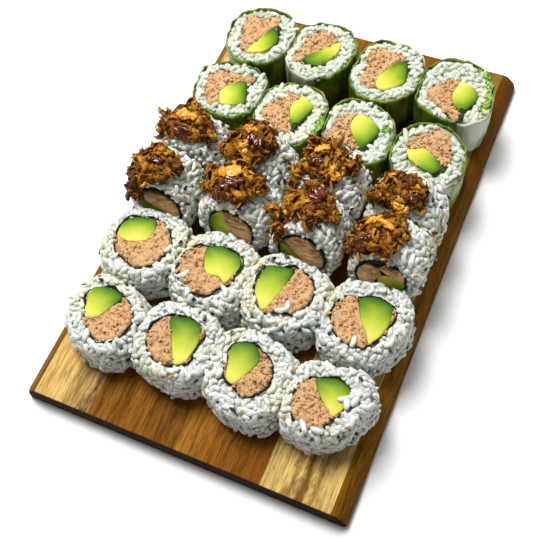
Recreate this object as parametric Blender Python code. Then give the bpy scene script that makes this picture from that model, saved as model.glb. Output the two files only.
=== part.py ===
"""Sushi platter: twenty-four cut rolls on an acacia board, in metres with +Z up.

The origin is on the board's underside, below the middle of its flat top. +X runs across the board and +Y
from its front, where some board is left bare, to its back. Two rows of rice rolls stand at the front, then
two rows lie on their sides under crisp fried onion, and two rows in a leaf-green wrap stand at the back.
"""

import math
import random

import bmesh
import bpy
from mathutils import Quaternion, Vector

MM = 0.001

# Board: the long sides and the back swell outwards on their way down, the front is nearly upright
BOARD_WIDTH = 172.0 * MM
BOARD_LENGTH = 285.5 * MM
BOARD_THICKNESS = 14.0 * MM
SWELL = 8.4 * MM
FRONT_SWELL = 1.0 * MM
FRONT_CORNER = 2.5 * MM
BACK_CORNER = 6.5 * MM
CORNER_STEPS = 6
# From the foot to the top edge: share of the thickness, share of the swell
EDGE_PROFILE = ((0.0, 0.90), (0.10, 1.0), (0.30, 0.97), (0.62, 0.74), (0.88, 0.36), (1.0, 0.0))

# Rolls. A bump is the height of a grain of rice that stands out
STANDING_RADIUS = 22.8 * MM
STANDING_HEIGHT = 26.0 * MM
WRAPPED_RADIUS = 22.0 * MM
WRAPPED_HEIGHT = 29.0 * MM
LYING_RADIUS = 20.8 * MM
LYING_LENGTH = 27.0 * MM
COLUMNS = 24
RICE_BUMP = 0.95 * MM
FILLING_BUMP = 0.30 * MM
WRAP_BUMP = 0.22 * MM
OUT_OF_ROUND = 0.028
LEAN_BACK = 0.22
RICE_SHARE = 0.7
SIDE_SHARE = 0.95
END_MIDDLE = 0.02
GAP = 0.3 * MM
CUT_GAP = 0.39 * MM
FOOT = BOARD_THICKNESS + GAP

# Row boundaries along Y, front to back, half a gap clear of the pieces on both sides
FRONT_LIMIT = -121.5 * MM
STANDING_SPLIT = -73.6 * MM
STANDING_TO_LYING = -28.4 * MM
LYING_SPLIT = 3.2 * MM
LYING_TO_WRAPPED = 32.2 * MM
WRAPPED_SPLIT = 79.0 * MM
BACK_LIMIT = 131.0 * MM
SIDE_LIMIT = 93.0 * MM

# Each row: the nodes' name, and the rolls' middles in X and Y, in millimetres. The standing rolls are pressed
# out of round, so each has its radii too, every 30 degrees anticlockwise from +X
FRONT_ROW = {
    "name": "front_roll",
    "x": (-60.0, -17.0, 25.2, 67.3),
    "y": (-95.5, -95.8, -95.7, -98.2),
    "outlines": (
        (21.5, 22.0, 21.0, 21.0, 25.0, 23.5, 21.5, 22.5, 21.0, 21.5, 24.0, 23.5),
        (21.5, 23.5, 23.5, 20.5, 24.5, 26.0, 23.0, 26.0, 21.5, 20.5, 23.0, 24.5),
        (21.5, 23.5, 21.5, 19.5, 23.0, 26.0, 23.0, 26.0, 25.0, 24.5, 26.5, 25.5),
        (18.5, 24.5, 26.0, 19.5, 23.5, 26.0, 22.5, 25.5, 22.5, 19.0, 17.0, 16.5),
    ),
}
SECOND_ROW = {
    "name": "second_roll",
    "x": (-60.0, -16.9, 24.0, 70.4),
    "y": (-50.8, -51.2, -49.6, -50.5),
    "outlines": (
        (21.0, 26.5, 26.0, 23.0, 24.5, 26.0, 24.0, 25.5, 23.0, 21.5, 22.0, 23.5),
        (21.5, 24.0, 24.5, 23.0, 24.5, 24.0, 22.0, 25.5, 24.0, 23.0, 26.0, 24.0),
        (23.0, 26.0, 21.5, 20.0, 24.5, 25.0, 22.0, 25.0, 24.5, 22.5, 23.5, 25.0),
        (20.0, 22.5, 27.0, 23.0, 26.0, 26.0, 24.0, 26.5, 25.0, 23.0, 20.5, 19.0),
    ),
}
NEAR_LYING_ROW = {
    "name": "near_topped_roll",
    "x": (-64.0, -19.8, 23.0, 68.5),
    "y": (-11.3, -10.8, -11.3, -10.8),
}
FAR_LYING_ROW = {
    "name": "far_topped_roll",
    "x": (-61.5, -21.0, 22.5, 67.0),
    "y": (17.0, 17.3, 17.5, 17.0),
}
NEAR_WRAPPED_ROW = {
    "name": "near_wrapped_roll",
    "x": (-59.0, -16.4, 25.9, 65.8),
    "y": (58.4, 53.6, 54.5, 53.7),
    "outlines": (
        (24.0, 27.0, 23.0, 19.5, 21.0, 23.0, 19.5, 21.0, 20.0, 19.0, 21.0, 22.5),
        (19.0, 22.5, 24.5, 22.5, 24.0, 23.5, 22.0, 21.5, 20.5, 20.5, 21.5, 21.0),
        (20.5, 21.0, 21.5, 22.0, 25.0, 25.0, 23.0, 20.5, 20.0, 20.0, 21.5, 24.0),
        (21.5, 21.5, 21.5, 22.0, 21.0, 20.5, 19.5, 21.0, 22.0, 20.5, 22.5, 24.5),
    ),
}
FAR_WRAPPED_ROW = {
    "name": "far_wrapped_roll",
    "x": (-55.0, -16.4, 26.0, 67.0),
    "y": (103.6, 103.1, 102.3, 100.9),
    "outlines": (
        (17.5, 21.0, 22.5, 21.0, 22.5, 24.0, 22.5, 23.0, 24.0, 22.5, 22.0, 19.5),
        (19.0, 22.0, 23.0, 22.0, 23.5, 23.0, 20.5, 23.0, 22.5, 22.5, 20.0, 19.0),
        (20.0, 22.0, 23.0, 21.0, 23.5, 22.0, 19.5, 23.5, 25.0, 23.5, 23.0, 21.5),
        (21.5, 22.5, 22.0, 22.0, 23.5, 23.0, 21.0, 25.0, 22.0, 22.0, 26.0, 26.0),
    ),
}

# Profiles from one end's middle to the other's: share of the radius, share of the length, share of the bump
STANDING_PROFILE = (
    (0.93, 0.00, 0.0),
    (1.00, 0.13, 1.0),
    (1.03, 0.36, 1.0),
    (1.03, 0.60, 1.0),
    (1.00, 0.83, 1.0),
    (0.91, 0.97, 0.9),
    (0.76, 1.01, 0.8),
    (0.60, 0.98, 0.5),
    (0.30, 0.98, 0.5),
)
WRAPPED_PROFILE = (
    (0.93, 0.00, 0.0),
    (0.99, 0.40, 1.0),
    (1.01, 0.96, 1.0),
    (0.90, 1.00, 0.8),
    (0.74, 1.01, 0.8),
    (0.58, 0.98, 0.5),
)
LYING_PROFILE = (
    (0.58, 0.01, 0.5),
    (0.76, -0.01, 0.8),
    (0.92, 0.04, 0.9),
    (1.00, 0.20, 1.0),
    (1.01, 0.40, 1.0),
    (1.01, 0.60, 1.0),
    (1.00, 0.80, 1.0),
    (0.92, 0.96, 0.9),
    (0.76, 1.01, 0.8),
    (0.58, 0.99, 0.5),
)

# Fried-onion heaps: one on each lying roll, placed from the roll's middle in millimetres
HEAP_HALF_WIDTH = 16.5 * MM
HEAP_HALF_DEPTH = 12.5 * MM
HEAP_HEIGHT = 7.5 * MM
HEAP_ROUGHNESS = 0.16
HEAP_SPLIT = 7.5 * MM
HEAP_OVERHANG = 5.0 * MM
HEAP_SEAT = 1.02
NEAR_HEAP_SHIFT = ((-6.5, -3.5), (-4.0, 0.5), (-3.0, 1.0), (-7.0, -2.5))
FAR_HEAP_SHIFT = ((-3.0, -1.5), (-5.0, -2.0), (-3.0, 0.5), (-6.5, -3.0))
LOBE_RADIUS = 6.5 * MM
NEAR_LOBES = ((-13.0, -10.5, -4.5), None, (-13.5, -12.5, -3.0), None)
FLAT_ANGLE = 1.0
FLAKES = 5
FLAKE_LENGTH = 12.0 * MM
FLAKE_WIDTH = 5.0 * MM
FLAKE_THICKNESS = 1.6 * MM
FLAKE_BEND = 1.5 * MM
FLAKE_HEIGHTS = (0.1, 0.7)
FLAKE_TIPS = (0.15, 0.5)
FLAKE_STRETCHES = (0.75, 1.15)

ACACIA = (0.36, 0.17, 0.06)
RICE_WHITE = (0.80, 0.80, 0.76)
WRAP_GREEN = (0.16, 0.30, 0.05)
FRIED_ONION = (0.42, 0.18, 0.04)


def clear_scene():
    """Removes whatever the scene starts with."""
    for thing in list(bpy.data.objects):
        bpy.data.objects.remove(thing, do_unlink=True)


def finish(name, colour, roughness):
    """A plain finish for one sub-part."""
    material = bpy.data.materials.new(name)
    material.use_nodes = True
    shader = material.node_tree.nodes["Principled BSDF"]
    shader.inputs["Base Color"].default_value = (*colour, 1.0)
    shader.inputs["Roughness"].default_value = roughness
    shader.inputs["Metallic"].default_value = 0.0
    return material


def mesh_object(name, bm, material, smooth_angle=50.0):
    """One named object from a mesh, shaded smooth up to an angle in degrees."""
    bmesh.ops.recalc_face_normals(bm, faces=bm.faces)
    mesh = bpy.data.meshes.new(name)
    bm.to_mesh(mesh)
    bm.free()
    mesh.shade_smooth()
    mesh.set_sharp_from_angle(angle=math.radians(smooth_angle))
    mesh.materials.append(material)
    made = bpy.data.objects.new(name, mesh)
    bpy.context.scene.collection.objects.link(made)
    return made


def loft(rings, start=None, end=None):
    """A closed solid through equal rings of points. An end without a point is a flat cap."""
    bm = bmesh.new()
    loops = [[bm.verts.new(p) for p in ring] for ring in rings]
    count = len(loops[0])
    for lower, upper in zip(loops, loops[1:]):
        for i in range(count):
            j = (i + 1) % count
            bm.faces.new((lower[i], lower[j], upper[j]))
            bm.faces.new((lower[i], upper[j], upper[i]))
    for loop, tip in ((loops[0], start), (loops[-1], end)):
        if tip is None:
            bm.faces.new(loop)
            continue
        point = bm.verts.new(tip)
        for i in range(count):
            bm.faces.new((loop[i], loop[(i + 1) % count], point))
    return bm


def board_ring(height_share, swell_share):
    """The board's outline at a share of its thickness."""
    half_x = BOARD_WIDTH / 2 + SWELL * swell_share
    front = -BOARD_LENGTH / 2 - FRONT_SWELL * swell_share
    back = BOARD_LENGTH / 2 + SWELL * swell_share
    corners = (
        (half_x, front, FRONT_CORNER, -90.0),
        (half_x, back, BACK_CORNER, 0.0),
        (-half_x, back, BACK_CORNER, 90.0),
        (-half_x, front, FRONT_CORNER, 180.0),
    )
    points = []
    for x, y, radius, start in corners:
        middle_x = x - math.copysign(radius, x)
        middle_y = y - math.copysign(radius, y)
        for step in range(CORNER_STEPS + 1):
            turn = math.radians(start + 90.0 * step / CORNER_STEPS)
            side, along = middle_x + radius * math.cos(turn), middle_y + radius * math.sin(turn)
            points.append((side, along, BOARD_THICKNESS * height_share))
    return points


def make_board():
    """The board, up from its foot through the swell of its edges."""
    rings = [board_ring(height, swell) for height, swell in EDGE_PROFILE]
    return mesh_object("board", loft(rings), finish("acacia", ACACIA, 0.45), 30.0)


def outline_radius(outline, angle):
    """The radius at an angle of an outline that is given in even steps."""
    along = angle / math.tau * len(outline) % len(outline)
    index = int(along)
    following = outline[(index + 1) % len(outline)]
    return outline[index] + (following - outline[index]) * (along - index)


def roll_points(profile, radius, length, bump, end_bump, rng, outline=None):
    """Rings of points for one roll about +Z from z=0, with bumps the size of a grain of rice."""
    phases = [rng.uniform(0.0, math.tau) for _ in range(2)]
    rings = []
    for row, (share, along, bumpy) in enumerate(profile):
        height = bump if share > RICE_SHARE else end_bump
        ring = []
        for column in range(COLUMNS):
            angle = math.tau * (column + 0.5 * (row % 2)) / COLUMNS
            uneven = 1.0 + OUT_OF_ROUND * math.sin(2 * angle + phases[0])
            uneven += 0.6 * OUT_OF_ROUND * math.sin(3 * angle + phases[1])
            if outline:
                uneven = outline_radius(outline, angle) * MM / radius
            lift = rng.uniform(-1.0, 1.0) * height * bumpy
            side = radius * share * uneven
            z = along * length
            if share > SIDE_SHARE:
                side += lift
            elif bumpy:
                side += lift / 2
                z += math.copysign(lift, along - 0.5)
            ring.append(Vector((side * math.cos(angle), side * math.sin(angle), z)))
        rings.append(ring)
    return rings


def keep_within(point, x_limits, y_limits):
    """Flattens a roll where its neighbours and the board press on it."""
    point.x = min(max(point.x, x_limits[0] + GAP / 2), x_limits[1] - GAP / 2)
    point.y = min(max(point.y, y_limits[0] + GAP / 2), y_limits[1] - GAP / 2)
    point.z = max(point.z, FOOT)
    return point


def column_limits(xs, index):
    """The planes halfway to the rolls on the left and on the right."""
    left = (xs[index - 1] + xs[index]) / 2 * MM if index else -SIDE_LIMIT
    right = (xs[index] + xs[index + 1]) / 2 * MM if index < len(xs) - 1 else SIDE_LIMIT
    return left, right


def standing_row(row, y_limits, profile, size, bump, material, seed):
    """Rolls that stand on one cut face with the other up. size is the radius and the height."""
    radius, height = size
    made = []
    for index, (x, y) in enumerate(zip(row["x"], row["y"])):
        rng = random.Random(seed + index)
        rings = roll_points(profile, radius, height, bump, FILLING_BUMP, rng, row["outlines"][index])
        limits = column_limits(row["x"], index)
        place = Vector((x * MM, y * MM, FOOT))
        placed = [[keep_within(p + place, limits, y_limits) for p in ring] for ring in rings]
        start = place.copy()
        end = place + Vector((0.0, 0.0, profile[-1][1] * height))
        made.append(mesh_object(f"{row['name']}_{index + 1}", loft(placed, start, end), material))
    return made


def lying_row(row, y_limits, material, seed):
    """Rolls that lie along Y, with cut faces that lean back a little."""
    made = []
    for index, (x, y) in enumerate(zip(row["x"], row["y"])):
        rng = random.Random(seed + index)
        rings = roll_points(LYING_PROFILE, LYING_RADIUS, LYING_LENGTH, RICE_BUMP, FILLING_BUMP, rng)
        tips = [Vector((0.0, 0.0, share * LYING_LENGTH)) for share in (END_MIDDLE, 1.0 - END_MIDDLE)]
        limits = column_limits(row["x"], index)
        place = Vector((x * MM, y * MM, FOOT + LYING_RADIUS))

        def laid(p):
            along = p.z - LYING_LENGTH / 2
            return keep_within(place + Vector((p.x, along + LEAN_BACK * p.y, p.y)), limits, y_limits)

        solid = loft([[laid(p) for p in ring] for ring in rings], laid(tips[0]), laid(tips[1]))
        made.append(mesh_object(f"{row['name']}_{index + 1}", solid, material))
    return made


def grown(roll):
    """A copy of a roll, larger by the gap, to cut the heap that rests on it."""
    bm = bmesh.new()
    bm.from_mesh(roll.data)
    bm.normal_update()
    for vertex in bm.verts:
        vertex.co += vertex.normal * CUT_GAP
    return mesh_object(f"{roll.name}_cutter", bm, roll.data.materials[0])


def heap_core(rng):
    """A rough dome, wide across the roll."""
    bm = bmesh.new()
    bmesh.ops.create_icosphere(bm, subdivisions=2, radius=1.0)
    for vertex in bm.verts:
        rough = 1.0 + rng.uniform(-HEAP_ROUGHNESS, HEAP_ROUGHNESS)
        vertex.co.x *= HEAP_HALF_WIDTH * rough
        vertex.co.y *= HEAP_HALF_DEPTH * rough
        vertex.co.z *= HEAP_HEIGHT * rough
    return bm


def heap_lobe(rng, place):
    """A smaller clump that has slid off the heap's front corner."""
    bm = bmesh.new()
    bmesh.ops.create_icosphere(bm, subdivisions=1, radius=1.0)
    for vertex in bm.verts:
        rough = 1.0 + rng.uniform(-HEAP_ROUGHNESS, HEAP_ROUGHNESS)
        vertex.co = vertex.co * (LOBE_RADIUS * rough) + Vector(place) * MM
    return bm


def heap_flake(rng, index):
    """A bent strip of fried onion that lies on the dome and stands out at one end."""
    bm = bmesh.new()
    bmesh.ops.create_cube(bm, size=1.0)
    around = math.tau * (index + rng.uniform(-0.3, 0.3)) / FLAKES
    up = rng.uniform(*FLAKE_HEIGHTS)
    out = math.sqrt(1.0 - up * up)
    direction = Vector((out * math.cos(around), out * math.sin(around), up))
    size = Vector((HEAP_HALF_WIDTH, HEAP_HALF_DEPTH, HEAP_HEIGHT))
    middle = direction * size
    normal = Vector((direction.x / size.x, direction.y / size.y, direction.z / size.z)).normalized()
    along = normal.orthogonal()
    along.rotate(Quaternion(normal, rng.uniform(0.0, math.tau)))
    along = (along + normal * rng.uniform(*FLAKE_TIPS)).normalized()
    across = normal.cross(along).normalized()
    length = FLAKE_LENGTH * rng.uniform(*FLAKE_STRETCHES)
    bend = rng.uniform(-1.0, 1.0) * FLAKE_BEND
    for vertex in bm.verts:
        p = vertex.co.copy()
        lift = p.z * FLAKE_THICKNESS + (bend if p.x > 0 else 0.0) * (1.0 + p.y)
        vertex.co = middle + along * (p.x * length) + across * (p.y * FLAKE_WIDTH) + normal * lift
    return bm


def drape(bm, middle, shift, y_limits):
    """Bends a flat heap round the roll's back and sets it in place, clear of the heaps of the other row."""
    top = LYING_RADIUS * HEAP_SEAT
    for vertex in bm.verts:
        p = vertex.co
        angle = (p.x + shift[0] * MM) / top
        reach = top + p.z
        y = middle.y + p.y + shift[1] * MM + LEAN_BACK * LYING_RADIUS * math.cos(angle)
        y = min(max(y, y_limits[0]), y_limits[1])
        vertex.co = (middle.x + reach * math.sin(angle), y, middle.z + reach * math.cos(angle))
    return bm


def touches(thing, other):
    """Whether two things' boxes come nearer than twice the gap."""
    for axis in range(3):
        mine = [v.co[axis] for v in thing.data.vertices]
        its = [v.co[axis] for v in other.data.vertices]
        if min(mine) > max(its) + 2 * GAP or min(its) > max(mine) + 2 * GAP:
            return False
    return True


def only_largest(thing):
    """Drops the loose scraps that cutting left, and joins its flat faces."""
    bm = bmesh.new()
    bm.from_mesh(thing.data)
    left = set(bm.verts)
    groups = []
    while left:
        group, reach = set(), [left.pop()]
        while reach:
            vertex = reach.pop()
            group.add(vertex)
            for edge in vertex.link_edges:
                other = edge.other_vert(vertex)
                if other in left:
                    left.remove(other)
                    reach.append(other)
        groups.append(group)
    groups.sort(key=len)
    for group in groups[:-1]:
        bmesh.ops.delete(bm, geom=list(group), context="VERTS")
    bmesh.ops.dissolve_limit(bm, angle_limit=math.radians(FLAT_ANGLE), verts=bm.verts, edges=bm.edges)
    bmesh.ops.triangulate(bm, faces=bm.faces)
    bm.to_mesh(thing.data)
    bm.free()


def apply_boolean(thing, operation, others):
    """One Boolean with a collection of helpers, which are then removed."""
    helpers = bpy.data.collections.new(f"{thing.name}_{operation.lower()}")
    bpy.context.scene.collection.children.link(helpers)
    for other in others:
        for holder in list(other.users_collection):
            holder.objects.unlink(other)
        helpers.objects.link(other)
    modifier = thing.modifiers.new(operation.title(), "BOOLEAN")
    modifier.operation = operation
    modifier.operand_type = "COLLECTION"
    modifier.collection = helpers
    modifier.solver = "EXACT"
    bpy.context.view_layer.update()
    evaluated = thing.evaluated_get(bpy.context.evaluated_depsgraph_get())
    cut = bpy.data.meshes.new_from_object(evaluated)
    thing.modifiers.clear()
    thing.data = cut
    for other in others:
        bpy.data.objects.remove(other, do_unlink=True)
    bpy.data.collections.remove(helpers)


def make_heap(row, index, shift, lobe, y_limits, others, material, seed):
    """Fried onion on one lying roll: a dome with flakes fused on, cut to what it rests on and meets."""
    rng = random.Random(seed + index)
    name = f"{row['name'].replace('topped_roll', 'onion_heap')}_{index + 1}"
    middle = Vector((row["x"][index] * MM, row["y"][index] * MM, FOOT + LYING_RADIUS))
    heap = mesh_object(name, drape(heap_core(rng), middle, shift, y_limits), material)
    flakes = []
    for number in range(FLAKES):
        flake = drape(heap_flake(rng, number), middle, shift, y_limits)
        flakes.append(mesh_object(f"{name}_flake_{number}", flake, material))
    if lobe:
        clump = drape(heap_lobe(rng, lobe), middle, shift, y_limits)
        flakes.append(mesh_object(f"{name}_lobe", clump, material))
    apply_boolean(heap, "UNION", flakes)
    apply_boolean(heap, "DIFFERENCE", [grown(other) for other in others if touches(heap, other)])
    only_largest(heap)
    return heap


def main():
    """Makes the board, the six rows and the heaps on the two lying rows."""
    clear_scene()
    make_board()
    rice = finish("sushi_rice", RICE_WHITE, 0.45)
    wrap = finish("green_wrap", WRAP_GREEN, 0.35)
    onion = finish("fried_onion", FRIED_ONION, 0.5)
    front = (FRONT_LIMIT, STANDING_SPLIT)
    second = (STANDING_SPLIT, STANDING_TO_LYING)
    near_wrapped = (LYING_TO_WRAPPED, WRAPPED_SPLIT)
    far_wrapped = (WRAPPED_SPLIT, BACK_LIMIT)
    bare = (STANDING_RADIUS, STANDING_HEIGHT)
    wrapped = (WRAPPED_RADIUS, WRAPPED_HEIGHT)
    rolls = standing_row(FRONT_ROW, front, STANDING_PROFILE, bare, RICE_BUMP, rice, 100)
    rolls += standing_row(SECOND_ROW, second, STANDING_PROFILE, bare, RICE_BUMP, rice, 200)
    rolls += lying_row(NEAR_LYING_ROW, (STANDING_TO_LYING, LYING_SPLIT), rice, 300)
    rolls += lying_row(FAR_LYING_ROW, (LYING_SPLIT, LYING_TO_WRAPPED), rice, 400)
    rolls += standing_row(NEAR_WRAPPED_ROW, near_wrapped, WRAPPED_PROFILE, wrapped, WRAP_BUMP, wrap, 500)
    standing_row(FAR_WRAPPED_ROW, far_wrapped, WRAPPED_PROFILE, wrapped, WRAP_BUMP, wrap, 600)
    near_limits = (STANDING_TO_LYING - HEAP_OVERHANG, HEAP_SPLIT - GAP / 2)
    far_limits = (HEAP_SPLIT + GAP / 2, LYING_TO_WRAPPED + HEAP_OVERHANG)
    for index, lobe in enumerate(NEAR_LOBES):
        make_heap(NEAR_LYING_ROW, index, NEAR_HEAP_SHIFT[index], lobe, near_limits, rolls, onion, 700)
        make_heap(FAR_LYING_ROW, index, FAR_HEAP_SHIFT[index], None, far_limits, rolls, onion, 800)


main()
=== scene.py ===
"""Dresses the sushi platter: rice, seaweed, fillings, wraps, fried onion, its sauces and the board's wood.

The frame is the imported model's: the origin on the board's underside, +X across the board, +Y from its bare
front to its back and +Z up. Sizes in the classes are in millimetres, and MM makes them metres.
"""

import logging
import math
import random
from collections.abc import Callable, Iterator, Sequence
from contextlib import contextmanager
from dataclasses import dataclass
from enum import Enum
from functools import partial
from itertools import product
from operator import add

import bmesh
import bpy
import numpy as np
from mathutils import Matrix, Vector, noise
from mathutils.bvhtree import BVHTree


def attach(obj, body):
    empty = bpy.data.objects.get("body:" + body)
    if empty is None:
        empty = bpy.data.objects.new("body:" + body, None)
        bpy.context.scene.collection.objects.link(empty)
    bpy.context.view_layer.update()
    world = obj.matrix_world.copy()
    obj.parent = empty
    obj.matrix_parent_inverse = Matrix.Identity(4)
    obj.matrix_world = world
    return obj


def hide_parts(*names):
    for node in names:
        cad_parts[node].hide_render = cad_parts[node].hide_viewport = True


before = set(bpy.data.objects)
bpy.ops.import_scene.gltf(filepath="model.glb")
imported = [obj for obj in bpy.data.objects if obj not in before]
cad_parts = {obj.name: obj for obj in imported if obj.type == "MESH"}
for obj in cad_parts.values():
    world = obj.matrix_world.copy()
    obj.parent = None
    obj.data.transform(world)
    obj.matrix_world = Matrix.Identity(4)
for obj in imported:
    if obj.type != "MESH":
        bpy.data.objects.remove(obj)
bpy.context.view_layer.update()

logging.basicConfig(level=logging.INFO, format="%(message)s")
log = logging.getLogger("platter")

MM = 0.001
MERGE = 0.01 * MM
FOOT = 14.3
BODY = "root"
UP = Vector((0.0, 0.0, 1.0))
IN_PLACE = Matrix.Identity(4)

Colour = tuple[float, float, float]
Triple = tuple[float, float, float]
Point = tuple[float, float]
Stops = Sequence[tuple[float, Colour]]
Wanted = Callable[[Vector, Vector], bool]


class Slot(Enum):
    """The record's material slots, one for each kind of finish."""

    ACACIA = "acacia"
    RICE = "sushi_rice"
    WRAP = "green_wrap"
    ONION = "fried_onion"
    NORI = "nori"
    TUNA = "tuna_salad"
    AVOCADO = "avocado"
    STRIP = "breaded_strip"
    MAYO = "orange_mayo"
    SAUCE = "brown_sauce"
    SESAME = "sesame"


# ---- shader maths ----


class Value:
    """A node's output, with the operators that the finishes use."""

    def __init__(self, shader: "Shader", socket: bpy.types.NodeSocket) -> None:
        """Keeps the output and the shader that it belongs to."""
        self.shader = shader
        self.socket = socket

    def _math(self, operation: str, first: "Value | float", second: "Value | float") -> "Value":
        """Adds one Math node."""
        return self.shader.node("ShaderNodeMath", {"operation": operation}, {0: first, 1: second})

    def __add__(self, other: "Value | float") -> "Value":
        """Adds."""
        return self._math("ADD", self, other)

    def __sub__(self, other: "Value | float") -> "Value":
        """Takes away."""
        return self._math("SUBTRACT", self, other)

    def __mul__(self, other: "Value | float") -> "Value":
        """Multiplies."""
        return self._math("MULTIPLY", self, other)

    __radd__ = __add__
    __rmul__ = __mul__


class Shader:
    """A material with one Principled shader, and the nodes that feed it."""

    def __init__(self, name: str, constants: dict[str, float | tuple[float, ...]]) -> None:
        """Makes the material.

        Args:
            name: the material's name.
            constants: the Principled shader's sockets that are the same all over.
        """
        self.material = bpy.data.materials.new(name)
        self.material.use_nodes = True
        self.tree = self.material.node_tree
        self.surface = self.tree.nodes["Principled BSDF"]
        for key, number in constants.items():
            self.surface.inputs[key].default_value = number

    def node(self, kind: str, settings: dict, inputs: dict, output: int | str = 0) -> Value:
        """Adds a node.

        Args:
            kind: the node's type.
            settings: its properties, set before its sockets. "stops" are a ramp's places and colours.
            inputs: numbers, colours or Values for its sockets, by name or index.
            output: the output that is wanted.

        Returns:
            That output.
        """
        made = self.tree.nodes.new(kind)
        for key, setting in settings.items():
            if key == "stops":
                self._set_stops(made.color_ramp, setting)
            elif key == "interpolation":
                made.color_ramp.interpolation = setting
            else:
                setattr(made, key, setting)
        for key, given in inputs.items():
            if isinstance(given, Value):
                self.tree.links.new(given.socket, made.inputs[key])
            elif given is not None:
                made.inputs[key].default_value = given
        return Value(self, made.outputs[output])

    @staticmethod
    def _set_stops(ramp: bpy.types.ColorRamp, stops: Stops) -> None:
        """Gives a ramp its stops, from left to right."""
        while len(ramp.elements) < len(stops):
            ramp.elements.new(1.0)
        for element, (place, colour) in zip(ramp.elements, stops):
            element.position = place
            element.color = (*colour, 1.0)

    def place(self, stretch: Triple = (1.0, 1.0, 1.0)) -> Value:
        """The place on the piece in metres, stretched along its axes."""
        at = self.node("ShaderNodeTexCoord", {}, {}, "Object")
        return self.node("ShaderNodeVectorMath", {"operation": "MULTIPLY"}, {0: at, 1: stretch})

    def part(self, vector: Value, axis: int) -> Value:
        """One part of a vector, 0 to 2 for X to Z."""
        return self.node("ShaderNodeSeparateXYZ", {}, {0: vector}, axis)

    def tone(self, name: str = "tone") -> Value:
        """A number that the mesh holds for each of its points."""
        return self.node("ShaderNodeAttribute", {"attribute_name": name}, {}, "Fac")

    def noise(self, scale: float, vector: Value, detail: float = 3.0, rough: float = 0.55) -> Value:
        """Even noise, with its scale in patches per metre."""
        inputs = {"Vector": vector, "Scale": scale, "Detail": detail, "Roughness": rough}
        return self.node("ShaderNodeTexNoise", {}, inputs, 0)

    def ramp(self, value: Value, stops: Stops, interpolation: str = "LINEAR") -> Value:
        """A colour for each value."""
        settings = {"interpolation": interpolation, "stops": stops}
        return self.node("ShaderNodeValToRGB", settings, {0: value}, "Color")

    def spread(self, value: Value, low: float, high: float) -> Value:
        """Stretches the values between two limits to 0 and 1, and cuts off the rest."""
        inputs = {"Value": value, "From Min": low, "From Max": high}
        return self.node("ShaderNodeMapRange", {"clamp": True}, inputs, 0)

    def band(self, value: Value, start: float, full: float, fading: float, end: float) -> Value:
        """Grows from 0 to 1 between two limits, and falls again between two higher ones."""
        return self.spread(value, start, full) * self.spread(value, end, fading)

    def mix(self, factor: Value | float, first: Value | Colour, second: Value | Colour) -> Value:
        """Mixes two colours."""
        first = first if isinstance(first, Value) else (*first, 1.0)
        second = second if isinstance(second, Value) else (*second, 1.0)
        return self.node("ShaderNodeMix", {"data_type": "RGBA"}, {0: factor, 6: first, 7: second}, 2)

    def paint(self, colour: Value) -> None:
        """Feeds the Base Color."""
        self.tree.links.new(colour.socket, self.surface.inputs["Base Color"])

    def rough(self, roughness: Value) -> None:
        """Feeds the Roughness."""
        self.tree.links.new(roughness.socket, self.surface.inputs["Roughness"])

    def relief(self, height: Value, distance: float, strength: float = 1.0) -> None:
        """Feeds the Normal from a Bump node, with the distance in millimetres."""
        inputs = {"Height": height, "Distance": distance * MM, "Strength": strength}
        bump = self.node("ShaderNodeBump", {}, inputs, "Normal")
        self.tree.links.new(bump.socket, self.surface.inputs["Normal"])


# ---- finishes ----


def lit_inside(weight: float, radius: Triple, scale: float) -> dict[str, float | Triple]:
    """The constants of a finish that light goes a little way into, with the scale in millimetres."""
    return {"Subsurface Weight": weight, "Subsurface Radius": radius, "Subsurface Scale": scale * MM}


@dataclass(frozen=True)
class RiceFinish:
    """Moist cooked rice: white to grey-white grains, some warmer, slightly see-through, with painted shade in
    the gaps between them.
    """

    name: str = "sushi_rice"
    white: Colour = (0.79, 0.81, 0.76)
    grey: Colour = (0.50, 0.53, 0.48)
    warm: Colour = (0.68, 0.68, 0.44)
    # painted shade: the colour of the core where it shows between the grains
    gap: Colour = (0.09, 0.09, 0.06)
    # painted shade: the colour of small dark flecks that stand for tiny gaps between grains
    painted_fleck_shade: Colour = (0.05, 0.05, 0.03)

    def material(self) -> bpy.types.Material:
        """Builds the finish."""
        inside = lit_inside(0.35, (1.0, 0.9, 0.75), 1.3)
        shader = Shader(self.name, {"Roughness": 0.36, "Specular IOR Level": 0.35, **inside})
        tone = shader.tone()
        patches = shader.noise(38.0, shader.place(), 1.0)
        cloudy = shader.noise(620.0, shader.place(), 2.0)
        colour = shader.mix(shader.spread(tone + 0.35 * cloudy, 0.05, 1.25), self.grey, self.white)
        colour = shader.mix(0.60 * shader.spread(patches, 0.50, 0.68), colour, self.warm)
        # Painted shade: a tone below zero, given to the core, turns it towards the gap colour.
        colour = shader.mix(shader.spread(tone, -0.05, -0.4), colour, self.gap)
        # Painted shade: small dark flecks all over, for the tiny gaps between grains.
        painted_fleck_mask = shader.noise(900.0, shader.place(), 0.0)
        colour = shader.mix(0.75 * shader.spread(painted_fleck_mask, 0.765, 0.80), colour, self.painted_fleck_shade)
        shader.paint(colour)
        shader.relief(shader.noise(700.0, shader.place(), 3.0), 0.25, 0.5)
        return shader.material


@dataclass(frozen=True)
class NoriFinish:
    """Damp seaweed, nearly black with a little green."""

    name: str = "nori"
    black: Colour = (0.003, 0.004, 0.003)
    green: Colour = (0.008, 0.015, 0.006)

    def material(self) -> bpy.types.Material:
        """Builds the finish."""
        shader = Shader(self.name, {"Roughness": 0.5, "Specular IOR Level": 0.2})
        grain = shader.noise(900.0, shader.place())
        shader.paint(shader.mix(shader.spread(grain, 0.45, 0.75), self.black, self.green))
        shader.relief(grain, 0.15)
        return shader.material


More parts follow.
